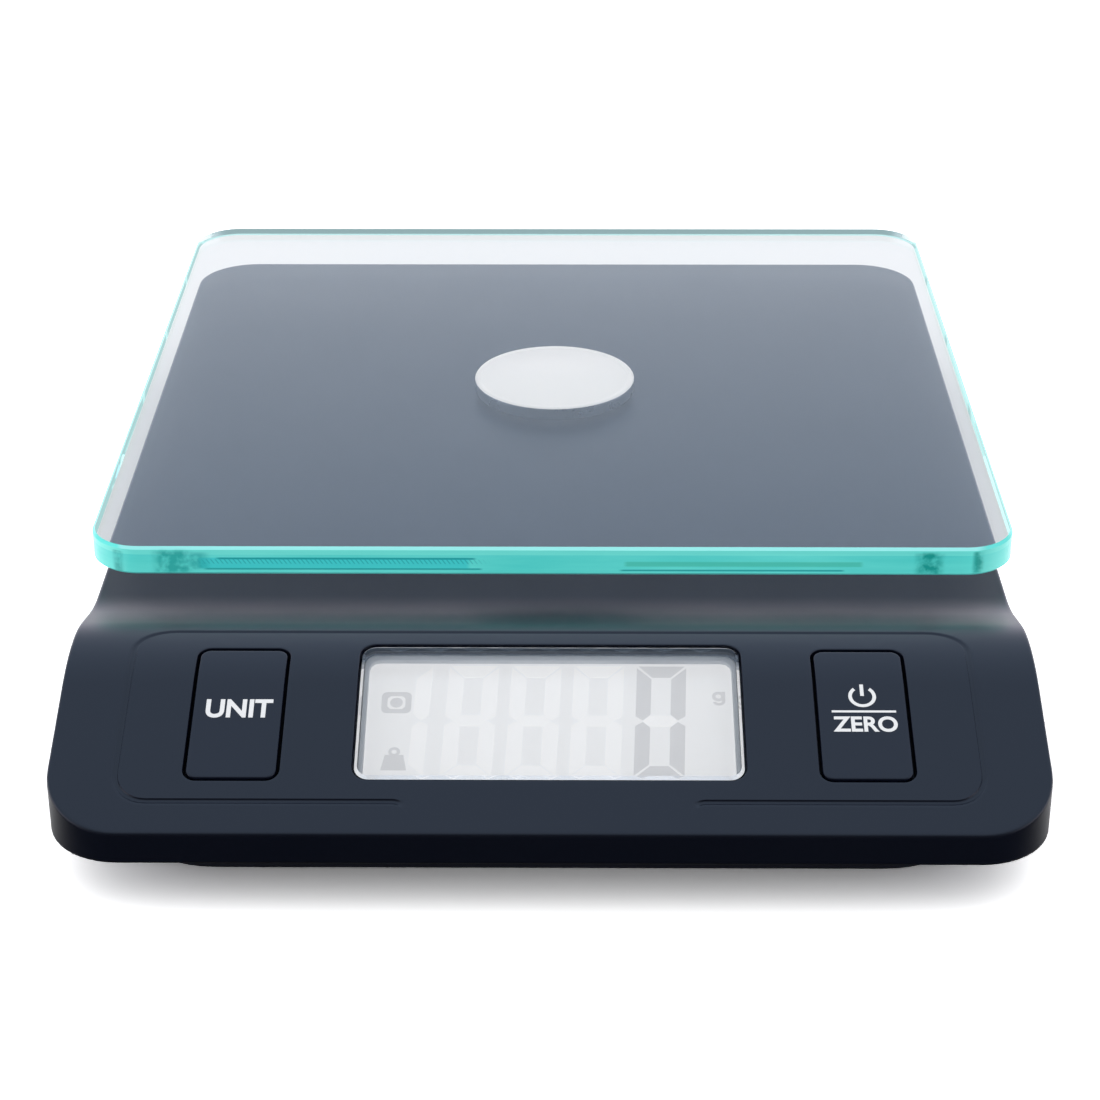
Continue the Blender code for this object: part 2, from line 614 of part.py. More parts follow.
def coil_spring(name, y, x0, x1, mat):
    """Round-wire compression spring between x0 and x1."""
    turns = 4
    steps = 12
    wire = 0.4
    coil = 3.2
    sides = 6
    count = turns * steps
    rings = []
    for i in range(count + 1):
        turn = 2 * math.pi * i / steps
        x = x0 + (x1 - x0) * i / count
        out = Vector((0, math.cos(turn), math.sin(turn)))
        center = Vector((x, y, CELL_Z)) + out * coil
        ring = []
        for k in range(sides):
            angle = 2 * math.pi * k / sides
            ring.append(center + out * (wire * math.cos(angle)) + Vector((wire * math.sin(angle), 0, 0)))
        rings.append(ring)
    return add_object(name, rings_to_bmesh(rings), mat)


def build_power(mats):
    """Two cells side by side, their contacts and springs, and the sliding door."""
    battery("battery_1", CELL_Y[0], 1, mats["battery"])
    battery("battery_2", CELL_Y[1], -1, mats["battery"])
    z = (4.6, 15.2)
    thick = 0.5
    first = (CELL_Y[0] - 4.6, CELL_Y[0] + 4.6)
    second = (CELL_Y[1] - 4.6, CELL_Y[1] + 4.6)
    block("battery_bridge", (-CONTACT_X - thick, -CONTACT_X), (first[0], second[1]), z, mats["spring_steel"])
    block("battery_contact_plus", (CONTACT_X, CONTACT_X + thick), first, z, mats["spring_steel"])
    block("battery_contact_minus", (CONTACT_X, CONTACT_X + thick), second, z, mats["spring_steel"])
    reach = (19.6 + 0.7, CONTACT_X - 0.7)
    coil_spring("battery_spring_1", CELL_Y[0], -reach[1], -reach[0], mats["spring_steel"])
    coil_spring("battery_spring_2", CELL_Y[1], reach[0], reach[1], mats["spring_steel"])

    door = block("battery_door", (-DOOR_HALF_X, DOOR_HALF_X), DOOR_Y, (TUB_BOTTOM, TUB_FLOOR),
                 mats["black_plastic"])
    tongue = DOOR_HALF_X + DOOR_TONGUE
    fuse(door, block("door_tongues", (-tongue, tongue), (DOOR_Y[0], TUB_BACK - TUB_WALL - GAP),
                     (2.7, TUB_FLOOR)))
    fuse(door, block("door_lip", (-DOOR_HALF_X, DOOR_HALF_X), (TUB_BACK - 1.8, TUB_BACK),
                     (TUB_BOTTOM + 0.5, 7.5)))


def smooth_route(points, per_span=6):
    """Catmull-Rom curve through hand-placed points."""
    ends = [points[0]] + list(points) + [points[-1]]
    knots = [Vector(p) for p in ends]
    route = []
    for a, b, c, d in zip(knots, knots[1:], knots[2:], knots[3:]):
        for i in range(per_span):
            t = i / per_span
            route.append(0.5 * (2 * b + (c - a) * t + (2 * a - 5 * b + 4 * c - d) * t ** 2
                                + (3 * b - a - 3 * c + d) * t ** 3))
    return route + [knots[-1]]


def wire(name, points, radius, mat):
    """Insulated wire as a round tube along its route."""
    route = smooth_route(points)
    curve = bpy.data.curves.new(name, "CURVE")
    curve.dimensions = "3D"
    curve.bevel_depth = radius * MM
    curve.bevel_resolution = 2
    curve.use_fill_caps = True
    spline = curve.splines.new("POLY")
    spline.points.add(len(route) - 1)
    for point, place in zip(spline.points, route):
        point.co = (*(place * MM), 1.0)
    curve.materials.append(mat)
    piece = bpy.data.objects.new(name, curve)
    bpy.context.scene.collection.objects.link(piece)


def build_wires(mats):
    """Load cell lead and the two battery leads, along the tub floor to the board."""
    wire("load_cell_cable", [(7.8, 14.0, 9.0), (11.5, 10.0, 8.0), (15.0, -2.0, 6.2), (16.0, -20.0, 5.4),
                             (13.0, -38.0, 5.6), (11.0, -54.0, 7.2),
                             (11.0, -64.0, 10.4), (11.0, -70.0, 13.0)],
         1.1, mats["grey_cable"])
    wire("battery_wire_plus", [(27.0, 66.5, 15.4), (30.4, 65.0, 14.0), (32.5, 58.0, 8.0), (33.5, 42.0, 5.2),
                               (34.0, 5.0, 5.0), (31.0, -36.0, 5.2), (28.0, -55.0, 7.4), (27.0, -68.0, 13.6)],
         0.7, mats["red_wire"])
    wire("battery_wire_minus", [(27.0, 77.5, 15.4), (31.0, 75.0, 14.0), (35.5, 62.0, 8.0), (36.5, 42.0, 5.2),
                                (37.0, 5.0, 5.0), (35.0, -36.0, 5.2),
                                (33.0, -55.0, 7.4), (32.0, -68.0, 13.6)],
         0.7, mats["black_wire"])


# ---------------------------------------------------------------- assembly

def build_all():
    clear_scene()
    mats = {
        "black_plastic": finish_material("black_plastic", (0.018, 0.022, 0.032), 0.42),
        "glass": finish_material("clear_glass", (0.62, 0.86, 0.82), 0.03),
        "aluminium": finish_material("aluminium", (0.80, 0.81, 0.83), 0.35, 1.0),
        "steel": finish_material("zinc_steel", (0.62, 0.63, 0.65), 0.35, 1.0),
        "spring_steel": finish_material("nickel_steel", (0.72, 0.71, 0.68), 0.25, 1.0),
        "silicone": finish_material("white_silicone", (0.80, 0.80, 0.78), 0.6),
        "lens": finish_material("clear_acrylic", (0.90, 0.92, 0.93), 0.05),
        "white_plastic": finish_material("white_plastic", (0.80, 0.81, 0.82), 0.5),
        "display": finish_material("display_cell", (0.74, 0.76, 0.78), 0.2),
        "board": finish_material("circuit_board", (0.03, 0.16, 0.07), 0.5),
        "rubber": finish_material("black_rubber", (0.02, 0.02, 0.02), 0.85),
        "battery": finish_material("battery_label", (0.05, 0.10, 0.20), 0.35),
        "grey_cable": finish_material("grey_cable", (0.30, 0.31, 0.32), 0.6),
        "red_wire": finish_material("red_wire", (0.55, 0.03, 0.02), 0.5),
        "black_wire": finish_material("black_wire", (0.02, 0.02, 0.02), 0.5),
    }
    build_top_cover(mats["black_plastic"])
    build_bottom_cover(mats["black_plastic"])
    build_platform(mats)
    build_load_cell(mats)
    build_display(mats)
    build_board(mats)
    build_key("unit_key", -1, mats["black_plastic"])
    build_key("zero_key", 1, mats["black_plastic"])
    build_fasteners_and_feet(mats)
    build_power(mats)
    build_wires(mats)


build_all()
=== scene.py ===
"""Digital gram scale: how each piece looks, in the order the scale is put together."""

import math

import bmesh
import bpy
from mathutils import Euler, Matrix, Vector, geometry


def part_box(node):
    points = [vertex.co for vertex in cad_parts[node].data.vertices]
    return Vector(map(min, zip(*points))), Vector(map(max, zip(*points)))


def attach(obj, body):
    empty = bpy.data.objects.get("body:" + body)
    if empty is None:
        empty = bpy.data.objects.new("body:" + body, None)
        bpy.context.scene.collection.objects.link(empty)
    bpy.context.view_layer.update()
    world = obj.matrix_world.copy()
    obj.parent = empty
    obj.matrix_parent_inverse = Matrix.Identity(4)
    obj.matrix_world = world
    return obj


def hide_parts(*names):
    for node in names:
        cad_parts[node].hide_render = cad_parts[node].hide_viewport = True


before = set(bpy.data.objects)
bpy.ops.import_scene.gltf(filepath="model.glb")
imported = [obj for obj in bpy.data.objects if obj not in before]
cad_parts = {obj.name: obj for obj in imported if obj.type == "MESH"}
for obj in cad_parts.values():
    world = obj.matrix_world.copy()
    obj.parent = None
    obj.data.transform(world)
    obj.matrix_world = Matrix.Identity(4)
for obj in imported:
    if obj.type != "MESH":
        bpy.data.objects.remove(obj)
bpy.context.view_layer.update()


# ---------------------------------------------------------------- rubber feet
# Four moulded rubber feet, pressed into round recesses under the tray. Each is a short
# turned plug with a soft rounded rim and a shallow hollow in the middle for grip.

MM = 0.001
FOOT_PLACES = ((-52.0, -79.0), (52.0, -79.0), (-52.0, 73.0), (52.0, 73.0))
FOOT_RADIUS = 6.5
FOOT_HEIGHT = 2.5
FOOT_PROFILE = ((0.0, 0.16), (0.50, 0.16), (0.56, 0.02), (0.62, 0.0), (0.86, 0.0), (0.95, 0.05),
                (0.99, 0.16), (1.0, 0.30), (1.0, 1.0), (0.0, 1.0))


def add_node(tree, kind, wiring=None, **settings):
    """Node with its settings, then its inputs: each a value, or the socket that feeds it."""
    node = tree.nodes.new(kind)
    for key, value in settings.items():
        setattr(node, key, value)
    for label, source in (wiring or {}).items():
        if isinstance(source, bpy.types.NodeSocket):
            tree.links.new(source, node.inputs[label])
        else:
            node.inputs[label].default_value = source
    return node


def new_tree(name, inputs):
    """Geometry node group with named inputs, given as (label, kind, value)."""
    tree = bpy.data.node_groups.new(name, "GeometryNodeTree")
    tree.interface.new_socket("Geometry", in_out="INPUT", socket_type="NodeSocketGeometry")
    for label, kind, value in inputs:
        socket = tree.interface.new_socket(label, in_out="INPUT", socket_type=f"NodeSocket{kind}")
        if value is not None:
            socket.default_value = value
    tree.interface.new_socket("Geometry", in_out="OUTPUT", socket_type="NodeSocketGeometry")
    return tree, tree.nodes.new("NodeGroupInput"), tree.nodes.new("NodeGroupOutput")


def times(tree, socket, share):
    """Socket times a constant."""
    node = add_node(tree, "ShaderNodeMath", {0: socket, 1: share}, operation="MULTIPLY")
    return node.outputs[0]


def turned_stack(tree, radius, height, profile, sides):
    """Turn a profile, given in shares of the radius and the height, as a stack of open cones."""
    join = tree.nodes.new("GeometryNodeJoinGeometry")
    for one, two in zip(profile, profile[1:]):
        low, high = sorted((one, two), key=lambda point: point[1])
        cone = add_node(tree, "GeometryNodeMeshCone", {"Vertices": sides,
                        "Radius Bottom": times(tree, radius, low[0]),
                        "Radius Top": times(tree, radius, high[0]),
                        "Depth": times(tree, height, high[1] - low[1])}, fill_type="NONE")
        lift = add_node(tree, "ShaderNodeCombineXYZ", {"Z": times(tree, height, low[1])})
        place = add_node(tree, "GeometryNodeTransform", {"Geometry": cone.outputs["Mesh"],
                         "Translation": lift.outputs["Vector"]})
        tree.links.new(place.outputs["Geometry"], join.inputs["Geometry"])
    merge = add_node(tree, "GeometryNodeMergeByDistance", {"Distance": 0.002 * MM,
                     "Geometry": join.outputs["Geometry"]})
    return merge.outputs["Geometry"]


def finish_tree(tree, shape, output):
    """Realize what the tree made, shade it smooth, give it the material input, and put it out."""
    source = tree.nodes["Group Input"]
    realize = add_node(tree, "GeometryNodeRealizeInstances", {"Geometry": shape})
    smooth = add_node(tree, "GeometryNodeSetShadeSmooth", {"Geometry": realize.outputs["Geometry"]})
    paint = add_node(tree, "GeometryNodeSetMaterial", {"Geometry": smooth.outputs["Geometry"],
                     "Material": source.outputs["Material"]})
    tree.links.new(paint.outputs["Geometry"], output.inputs["Geometry"])


def made_by(tree, name, values, points=((0.0, 0.0, 0.0),), merge=0.002):
    """Run a tree on some points (mm) and return its result as a plain mesh object."""
    mesh = bpy.data.meshes.new(name)
    mesh.from_pydata([Vector(p) * MM for p in points], [], [])
    carrier = bpy.data.objects.new(name, mesh)
    bpy.context.scene.collection.objects.link(carrier)
    step = carrier.modifiers.new("make", "NODES")
    step.node_group = tree
    for item in tree.interface.items_tree:
        if item.in_out == "INPUT" and item.name in values:
            step[item.identifier] = values[item.name]
    graph = bpy.context.evaluated_depsgraph_get()
    result = bpy.data.meshes.new_from_object(carrier.evaluated_get(graph), depsgraph=graph)
    carrier.modifiers.clear()
    carrier.data = result
    for index in reversed(range(len(result.materials))):
        if result.materials[index] is None:
            result.materials.pop(index=index)
    face_outwards(result, merge)
    result.set_sharp_from_angle(angle=math.radians(30))
    return carrier


def face_outwards(mesh, merge=0.002):
    """Close the seams narrower than merge (mm) and turn every face outwards."""
    bm = bmesh.new()
    bm.from_mesh(mesh)
    bmesh.ops.remove_doubles(bm, verts=bm.verts[:], dist=merge * MM)
    bmesh.ops.recalc_face_normals(bm, faces=bm.faces[:])
    bm.to_mesh(mesh)
    bm.free()


def mixed_finish(name, dark, light, patch, rough, grain, metallic=0.0, stretch=(1, 1, 1)):
    """Surface whose colour and gloss wander between two values in patches (mm), with a fine grain.

    grain is (size, height) of the surface texture in mm; stretch scales the pattern along X, Y, Z.
    """
    mat = bpy.data.materials.new(name)
    mat.use_nodes = True
    tree = mat.node_tree
    shader = tree.nodes["Principled BSDF"]
    shader.inputs["Metallic"].default_value = metallic
    place = tree.nodes.new("ShaderNodeTexCoord")
    aim = add_node(tree, "ShaderNodeMapping", {"Scale": stretch,
                   "Vector": place.outputs["Object"]})

    clouds = add_node(tree, "ShaderNodeTexNoise", {"Scale": 1000.0 / patch, "Detail": 4.0,
                      "Vector": aim.outputs["Vector"]})
    colour = add_node(tree, "ShaderNodeMix", {"A": (*dark, 1.0), "B": (*light, 1.0),
                      "Factor": clouds.outputs["Fac"]}, data_type="RGBA")
    tree.links.new(colour.outputs["Result"], shader.inputs["Base Color"])
    gloss = add_node(tree, "ShaderNodeMapRange", {"From Min": 0.3, "From Max": 0.7,
                     "To Min": rough[0], "To Max": rough[1], "Value": clouds.outputs["Fac"]})
    tree.links.new(gloss.outputs["Result"], shader.inputs["Roughness"])

    texture = add_node(tree, "ShaderNodeTexNoise", {"Scale": 1000.0 / grain[0], "Detail": 2.0,
                       "Vector": aim.outputs["Vector"]})
    bump = add_node(tree, "ShaderNodeBump", {"Distance": grain[1] * MM,
                    "Height": texture.outputs["Fac"]})
    tree.links.new(bump.outputs["Normal"], shader.inputs["Normal"])
    return mat


foot_rubber = mixed_finish("foot_rubber", (0.012, 0.012, 0.013), (0.028, 0.028, 0.030), 3.0,
                           (0.75, 0.92), (0.30, 0.030))
foot_tree, foot_in, foot_out = new_tree("moulded_feet", (
    ("Foot radius", "Float", FOOT_RADIUS * MM), ("Foot height", "Float", FOOT_HEIGHT * MM),
    ("Material", "Material", None)))
foot_shape = turned_stack(foot_tree, foot_in.outputs["Foot radius"], foot_in.outputs["Foot height"],
                          FOOT_PROFILE, 48)
foot_spread = add_node(foot_tree, "GeometryNodeInstanceOnPoints", {"Points": foot_in.outputs["Geometry"],
                       "Instance": foot_shape})
finish_tree(foot_tree, foot_spread.outputs["Instances"], foot_out)
feet = made_by(foot_tree, "rubber_feet", {"Material": foot_rubber}, [(x, y, 0.0) for x, y in FOOT_PLACES])
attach(feet, "case")
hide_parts("foot_1", "foot_2", "foot_3", "foot_4")


# ---------------------------------------------------------------- bottom tray
# The lower half of the case, injection moulded in the same dark plastic as the top, but coloured
# lighter here: painted light from the bright floor beneath. A flat flange closes the shell; below
# it a tub with rounded edges carries feet, screws and cells.

SKIRT_Z = 8.4
FLANGE_BOTTOM = 9.0
TRAY_BOTTOM = 1.7
TRAY_FLOOR = 3.7
TRAY_WALL = 2.0
TUB = (-66.0, 66.0, -97.7, 89.5)
TUB_CORNER = 16.0
FLANGE = (-71.8, 71.8, -103.7, 95.45)
FLANGE_CORNER = 8.8
FLANGE_TOP = 10.8
TUB_ROUND = 1.2
CASE_SCREWS = ((-52.0, -56.0), (52.0, -56.0), (-52.0, 50.0), (52.0, 50.0))
BEAM_SCREWS = ((0.0, 4.05), (0.0, 12.05))
DOOR_HALF_X = 26.0
DOOR_FRONT_Y = 63.2
DOOR_RAIL = 1.7


def round_path(limits, radius, pitch=1.5, turn=9.0):
    """Points (x, y, nx, ny) round a rectangle with round corners, n facing outwards."""
    x0, x1, y0, y1 = limits
    corners = ((x1 - radius, y0 + radius, -90), (x1 - radius, y1 - radius, 0),
               (x0 + radius, y1 - radius, 90), (x0 + radius, y0 + radius, 180))
    count = max(3, int(90 / turn))
    path = []
    for index, (cx, cy, start) in enumerate(corners):
        for i in range(count + 1):
            angle = math.radians(start + 90 * i / count)
            nx, ny = math.cos(angle), math.sin(angle)
            path.append((cx + radius * nx, cy + radius * ny, nx, ny))
        nextx, nexty, _ = corners[(index + 1) % 4]
        x, y, nx, ny = path[-1]
        target = (nextx + radius * nx, nexty + radius * ny)
        length = math.hypot(target[0] - x, target[1] - y)
        cuts = max(1, round(length / pitch))
        for i in range(1, cuts):
            t = i / cuts
            path.append((x + (target[0] - x) * t, y + (target[1] - y) * t, nx, ny))
    return path


def ring_at(path, grow, z):
    """Ring round a path, moved outwards by grow; z is a height or a function of y."""
    ring = []
    for x, y, nx, ny in path:
        px, py = x + nx * grow, y + ny * grow
        ring.append(Vector((px, py, z(py) if callable(z) else z)))
    return ring


def band(bm, rings):
    """Quads between rings of vertices, each ring a closed loop."""
    for low, high in zip(rings, rings[1:]):
        count = len(low)
        for i in range(count):
            j = (i + 1) % count
            bm.faces.new((low[i], low[j], high[j], high[i]))


def add_rings(bm, rings):
    return [[bm.verts.new(point) for point in ring] for ring in rings]


def piece_from(name, bm, mat, sharp=30):
    """Make a finished object of a bmesh drawn in mm."""
    bmesh.ops.recalc_face_normals(bm, faces=bm.faces[:])
    bmesh.ops.scale(bm, vec=(MM, MM, MM), verts=bm.verts[:])
    mesh = bpy.data.meshes.new(name)
    bm.to_mesh(mesh)
    bm.free()
    mesh.shade_smooth()
    mesh.set_sharp_from_angle(angle=math.radians(sharp))
    if mat is not None:
        mesh.materials.append(mat)
    piece = bpy.data.objects.new(name, mesh)
    bpy.context.scene.collection.objects.link(piece)
    return piece


def solid(name, rings, mat=None):
    """Closed solid of a stack of rings, capped at both ends."""
    bm = bmesh.new()
    loops = add_rings(bm, rings)
    band(bm, loops)
    bm.faces.new(list(reversed(loops[0])))
    bm.faces.new(loops[-1])
    return piece_from(name, bm, mat)


def settle(piece, kind, **values):
    """Add one modifier and make its result the piece's own mesh."""
    step = piece.modifiers.new(kind.lower(), kind)
    for key, value in values.items():
        setattr(step, key, value)
    graph = bpy.context.evaluated_depsgraph_get()
    result = bpy.data.meshes.new_from_object(piece.evaluated_get(graph), depsgraph=graph)
    piece.modifiers.clear()
    piece.data = result


def cut_away(piece, *tools, operation="DIFFERENCE"):
    """Cut every tool out of the piece, and throw the tool away."""
    for tool in tools:
        settle(piece, "BOOLEAN", operation=operation, solver="EXACT", object=tool)
        bpy.data.objects.remove(tool)


def grow_on(piece, *parts):
    """Fuse every part to the piece."""
    cut_away(piece, *parts, operation="UNION")


def rounded_over(radius, steps=4):
    """(inset, drop) pairs down a quarter round, from the flat to the upright."""
    pairs = []
    for i in range(steps + 1):
        angle = math.radians(90 * i / steps)
        pairs.append((radius * (1 - math.sin(angle)), radius * (1 - math.cos(angle))))
    return pairs


def disc_path(radius, center, steps):
    path = []
    for i in range(steps):
        angle = 2 * math.pi * i / steps
        nx, ny = math.cos(angle), math.sin(angle)
        path.append((center[0] + radius * nx, center[1] + radius * ny, nx, ny))
    return path


def round_cutter(center, radius, z0, z1, flare=0.35):
    """Cutter for a round hole with a small chamfer at its lower mouth."""
    path = disc_path(radius, center, 40)
    return solid("cutter", [ring_at(path, flare, z0), ring_at(path, flare, TRAY_BOTTOM),
                            ring_at(path, 0, TRAY_BOTTOM + flare), ring_at(path, 0, z1)])


def box_cutter(x, y, z):
    path = [(x[0], y[0], 0, 0), (x[1], y[0], 0, 0), (x[1], y[1], 0, 0), (x[0], y[1], 0, 0)]
    return solid("cutter", [ring_at(path, 0, z[0]), ring_at(path, 0, z[1])])


case_plastic = mixed_finish("case_plastic", (0.0026, 0.0045, 0.0125), (0.0034, 0.0056, 0.0145), 22.0,
                            (0.33, 0.38), (0.60, 0.0006))
# A lighter copy of the case's plastic: painted light for the floor's glow on the tray.
tray_plastic_floor_lit = mixed_finish("tray_plastic_floor_lit", (0.0085, 0.0110, 0.0210), (0.0110, 0.0140, 0.0260), 9.0,
                            (0.42, 0.52), (0.45, 0.006))
tub_path = round_path(TUB, TUB_CORNER, 3.0, 7.5)
flange_path = round_path(FLANGE, FLANGE_CORNER, 3.0, 7.5)
tray_rings = [ring_at(tub_path, -TUB_ROUND - 0.5, TRAY_BOTTOM)]
for inset, drop in rounded_over(TUB_ROUND):
    tray_rings.append(ring_at(tub_path, -inset, TRAY_BOTTOM + drop))
tray_rings += [ring_at(tub_path, 0, FLANGE_BOTTOM)]
tray_rings += [ring_at(tub_path, 0, FLANGE_TOP - 0.9), ring_at(tub_path, -TRAY_WALL, FLANGE_TOP - 0.9),
               ring_at(tub_path, -TRAY_WALL, TRAY_FLOOR)]
tray = solid("bottom_tray", tray_rings, tray_plastic_floor_lit)
flange_hole = ring_at(tub_path, -TRAY_WALL, 0)
flange_bm = bmesh.new()
plate = add_rings(flange_bm, [ring_at(flange_path, 0, FLANGE_BOTTOM), ring_at(flange_path, 0, FLANGE_TOP)])
band(flange_bm, plate)
flange_bm.faces.new(list(reversed(plate[0])))
flange_bm.faces.new(plate[1])
flange = piece_from("flange", flange_bm, None)
cut_away(flange, solid("cutter", [[Vector((p.x, p.y, z)) for p in flange_hole] for z in (0, 20)]))
grow_on(tray, flange)
for spot in CASE_SCREWS:
    post = solid("post", [ring_at(disc_path(4.6, spot, 32), 0, z) for z in (TRAY_BOTTOM + 0.8, 12.0)])
    grow_on(tray, post)
    cut_away(tray, round_cutter(spot, 3.3, -1, 9.4), round_cutter(spot, 1.7, -1, 13))
for spot in FOOT_PLACES:
    cut_away(tray, round_cutter(spot, FOOT_RADIUS + 0.3, -1, FOOT_HEIGHT + 0.3, 0.2))
for spot in BEAM_SCREWS:
    cut_away(tray, round_cutter(spot, 3.6, -1, 3.4))
cut_away(tray, box_cutter((-DOOR_HALF_X, DOOR_HALF_X), (DOOR_FRONT_Y, 110), (0, 4.0)),
         box_cutter((-DOOR_HALF_X - DOOR_RAIL, DOOR_HALF_X + DOOR_RAIL), (DOOR_FRONT_Y, 110), (2.4, 4.0)),
         box_cutter((-DOOR_HALF_X, DOOR_HALF_X), (TUB[3] - TRAY_WALL - 0.2, 110), (0, 7.8)))
face_outwards(tray.data)
tray.data.set_sharp_from_angle(angle=math.radians(30))
settle(tray, "WEIGHTED_NORMAL", keep_sharp=True)
tray.data.materials.clear()
tray.data.materials.append(tray_plastic_floor_lit)
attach(tray, "case")
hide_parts("bottom_cover")


# ---------------------------------------------------------------- battery door
# A flat sliding cover in the tray's plastic. Its rows of raised ribs give a thumb something
# to push against, and its tongues run in the tray's rails.

RIB_COUNT = 7
RIB_PITCH = 1.6
RIB_LENGTH = 22.0
RIB_RADIUS = 0.45
RIB_FIRST_Y = 68.0

door_low, door_high = (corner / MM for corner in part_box("battery_door"))
door_path = round_path((-DOOR_HALF_X + 0.3, DOOR_HALF_X - 0.3, door_low.y, door_high.y), 0.5, 4.0, 30)
door_rings = [ring_at(door_path, -0.4, TRAY_BOTTOM), ring_at(door_path, -0.1, TRAY_BOTTOM + 0.1),
              ring_at(door_path, 0, TRAY_BOTTOM + 0.4), ring_at(door_path, 0, TRAY_FLOOR - 0.2),
              ring_at(door_path, -0.2, TRAY_FLOOR)]
door = solid("battery_door_cover", door_rings, tray_plastic_floor_lit)
tongue_path = round_path((door_low.x + 0.001, door_high.x - 0.001, door_low.y, door_high.y - 2.3), 0.4,
                         4.0, 30)
tongues = solid("tongues", [ring_at(tongue_path, 0, z) for z in (2.7, TRAY_FLOOR)])
lip_path = round_path((-DOOR_HALF_X + 0.3, DOOR_HALF_X - 0.3, door_high.y - 1.8, door_high.y), 0.5, 4.0, 30)
lip = solid("lip", [ring_at(lip_path, 0, TRAY_BOTTOM + 0.6), ring_at(lip_path, 0, 7.3),
                    ring_at(lip_path, -0.2, 7.5)])
grow_on(door, tongues, lip)
face_outwards(door.data)
door.data.set_sharp_from_angle(angle=math.radians(30))
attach(door, "door")
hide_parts("battery_door")

rib_tree, rib_in, rib_out = new_tree("thumb_ribs", (
    ("Rib count", "Int", RIB_COUNT), ("Rib pitch", "Float", RIB_PITCH * MM),
    ("Rib length", "Float", RIB_LENGTH * MM), ("Rib radius", "Float", RIB_RADIUS * MM),
    ("Material", "Material", None)))
rib_step = add_node(rib_tree, "ShaderNodeCombineXYZ", {"Y": rib_in.outputs["Rib pitch"]})
rib_row = add_node(rib_tree, "GeometryNodeMeshLine", {"Count": rib_in.outputs["Rib count"],
                   "Offset": rib_step.outputs["Vector"]}, mode="OFFSET")
rib_line = rib_tree.nodes.new("GeometryNodeCurvePrimitiveLine")
for end, share in (("Start", -0.5), ("End", 0.5)):
    rib_end = add_node(rib_tree, "ShaderNodeCombineXYZ",
                       {"X": times(rib_tree, rib_in.outputs["Rib length"], share)})
    rib_tree.links.new(rib_end.outputs["Vector"], rib_line.inputs[end])
rib_round = add_node(rib_tree, "GeometryNodeCurvePrimitiveCircle", {"Resolution": 12,
                     "Radius": rib_in.outputs["Rib radius"]})
rib_bar = add_node(rib_tree, "GeometryNodeCurveToMesh", {"Fill Caps": True,
                   "Curve": rib_line.outputs["Curve"], "Profile Curve": rib_round.outputs["Curve"]})
rib_spread = add_node(rib_tree, "GeometryNodeInstanceOnPoints", {"Points": rib_row.outputs["Mesh"],
                      "Instance": rib_bar.outputs["Mesh"]})
rib_place = add_node(rib_tree, "GeometryNodeTransform",
                     {"Translation": (0, RIB_FIRST_Y * MM, (TRAY_BOTTOM + 0.1) * MM),
                     "Geometry": rib_spread.outputs["Instances"]})
finish_tree(rib_tree, rib_place.outputs["Geometry"], rib_out)
ribs = made_by(rib_tree, "battery_door_ribs", {"Material": tray_plastic_floor_lit})
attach(ribs, "door")


# ---------------------------------------------------------------- batteries and contacts
# Two small cells in plain printed sleeves, between nickel-plated spring steel contacts. The
# leads are stranded copper in soft coloured insulation.


def dress(mat, *names):
    """Give carried-over solids their finish."""
    for name in names:
        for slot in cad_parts[name].material_slots:
            slot.material = mat


cell_sleeve = mixed_finish("cell_sleeve", (0.03, 0.07, 0.16), (0.05, 0.10, 0.22), 5.0, (0.22, 0.34),
                           (0.5, 0.004))
nickel_plate = mixed_finish("nickel_plate", (0.58, 0.57, 0.54), (0.72, 0.71, 0.68), 2.0, (0.20, 0.34),
                            (0.25, 0.006), metallic=1.0)
dress(cell_sleeve, "battery_1", "battery_2")
dress(nickel_plate, "battery_bridge", "battery_contact_plus", "battery_contact_minus",
      "battery_spring_1", "battery_spring_2")
for wire, dark, light in (("battery_wire_plus", (0.40, 0.02, 0.015), (0.55, 0.03, 0.02)),
                          ("battery_wire_minus", (0.012, 0.012, 0.013), (0.025, 0.025, 0.027)),
                          ("load_cell_cable", (0.24, 0.25, 0.26), (0.33, 0.34, 0.35))):
    dress(mixed_finish(f"{wire}_sheath", dark, light, 1.5, (0.45, 0.6), (0.2, 0.006)), wire)


# ---------------------------------------------------------------- case screws
# Four zinc-plated pan-head screws, deep in round wells under the tray, with a cross recess
# pressed into each head. They pull the tray up against the top cover's bosses.

SCREW_HEAD_RADIUS = 2.8
SCREW_LENGTH = 9.4
SCREW_HEAD_Z = 7.6
SCREW_PROFILE = ((0.0, 0.0), (0.55, 0.0), (0.80, 0.014), (0.94, 0.045), (1.0, 0.085), (1.0, 0.155),
                 (0.43, 0.16), (0.43, 0.92), (0.20, 1.0), (0.0, 1.0))

zinc_plate = mixed_finish("zinc_plate", (0.50, 0.51, 0.53), (0.66, 0.67, 0.69), 1.2, (0.24, 0.40),
                          (0.20, 0.008), metallic=1.0)
screw_tree, screw_in, screw_out = new_tree("pan_head_screws", (
    ("Head radius", "Float", SCREW_HEAD_RADIUS * MM), ("Screw length", "Float", SCREW_LENGTH * MM),
    ("Slot width", "Float", 0.75 * MM), ("Material", "Material", None)))
screw_body = turned_stack(screw_tree, screw_in.outputs["Head radius"], screw_in.outputs["Screw length"],
                          SCREW_PROFILE, 36)
screw_cut = add_node(screw_tree, "GeometryNodeMeshBoolean", {"Mesh 1": screw_body}, operation="DIFFERENCE",
                     solver="EXACT")
for across, along in (("X", "Y"), ("Y", "X")):
    slot_size = add_node(screw_tree, "ShaderNodeCombineXYZ",
                         {along: times(screw_tree, screw_in.outputs["Head radius"], 1.15),
                         across: screw_in.outputs["Slot width"], "Z": 1.6 * MM})
    slot_bar = add_node(screw_tree, "GeometryNodeMeshCube", {"Size": slot_size.outputs["Vector"]})
    screw_tree.links.new(slot_bar.outputs["Mesh"], screw_cut.inputs["Mesh 2"])
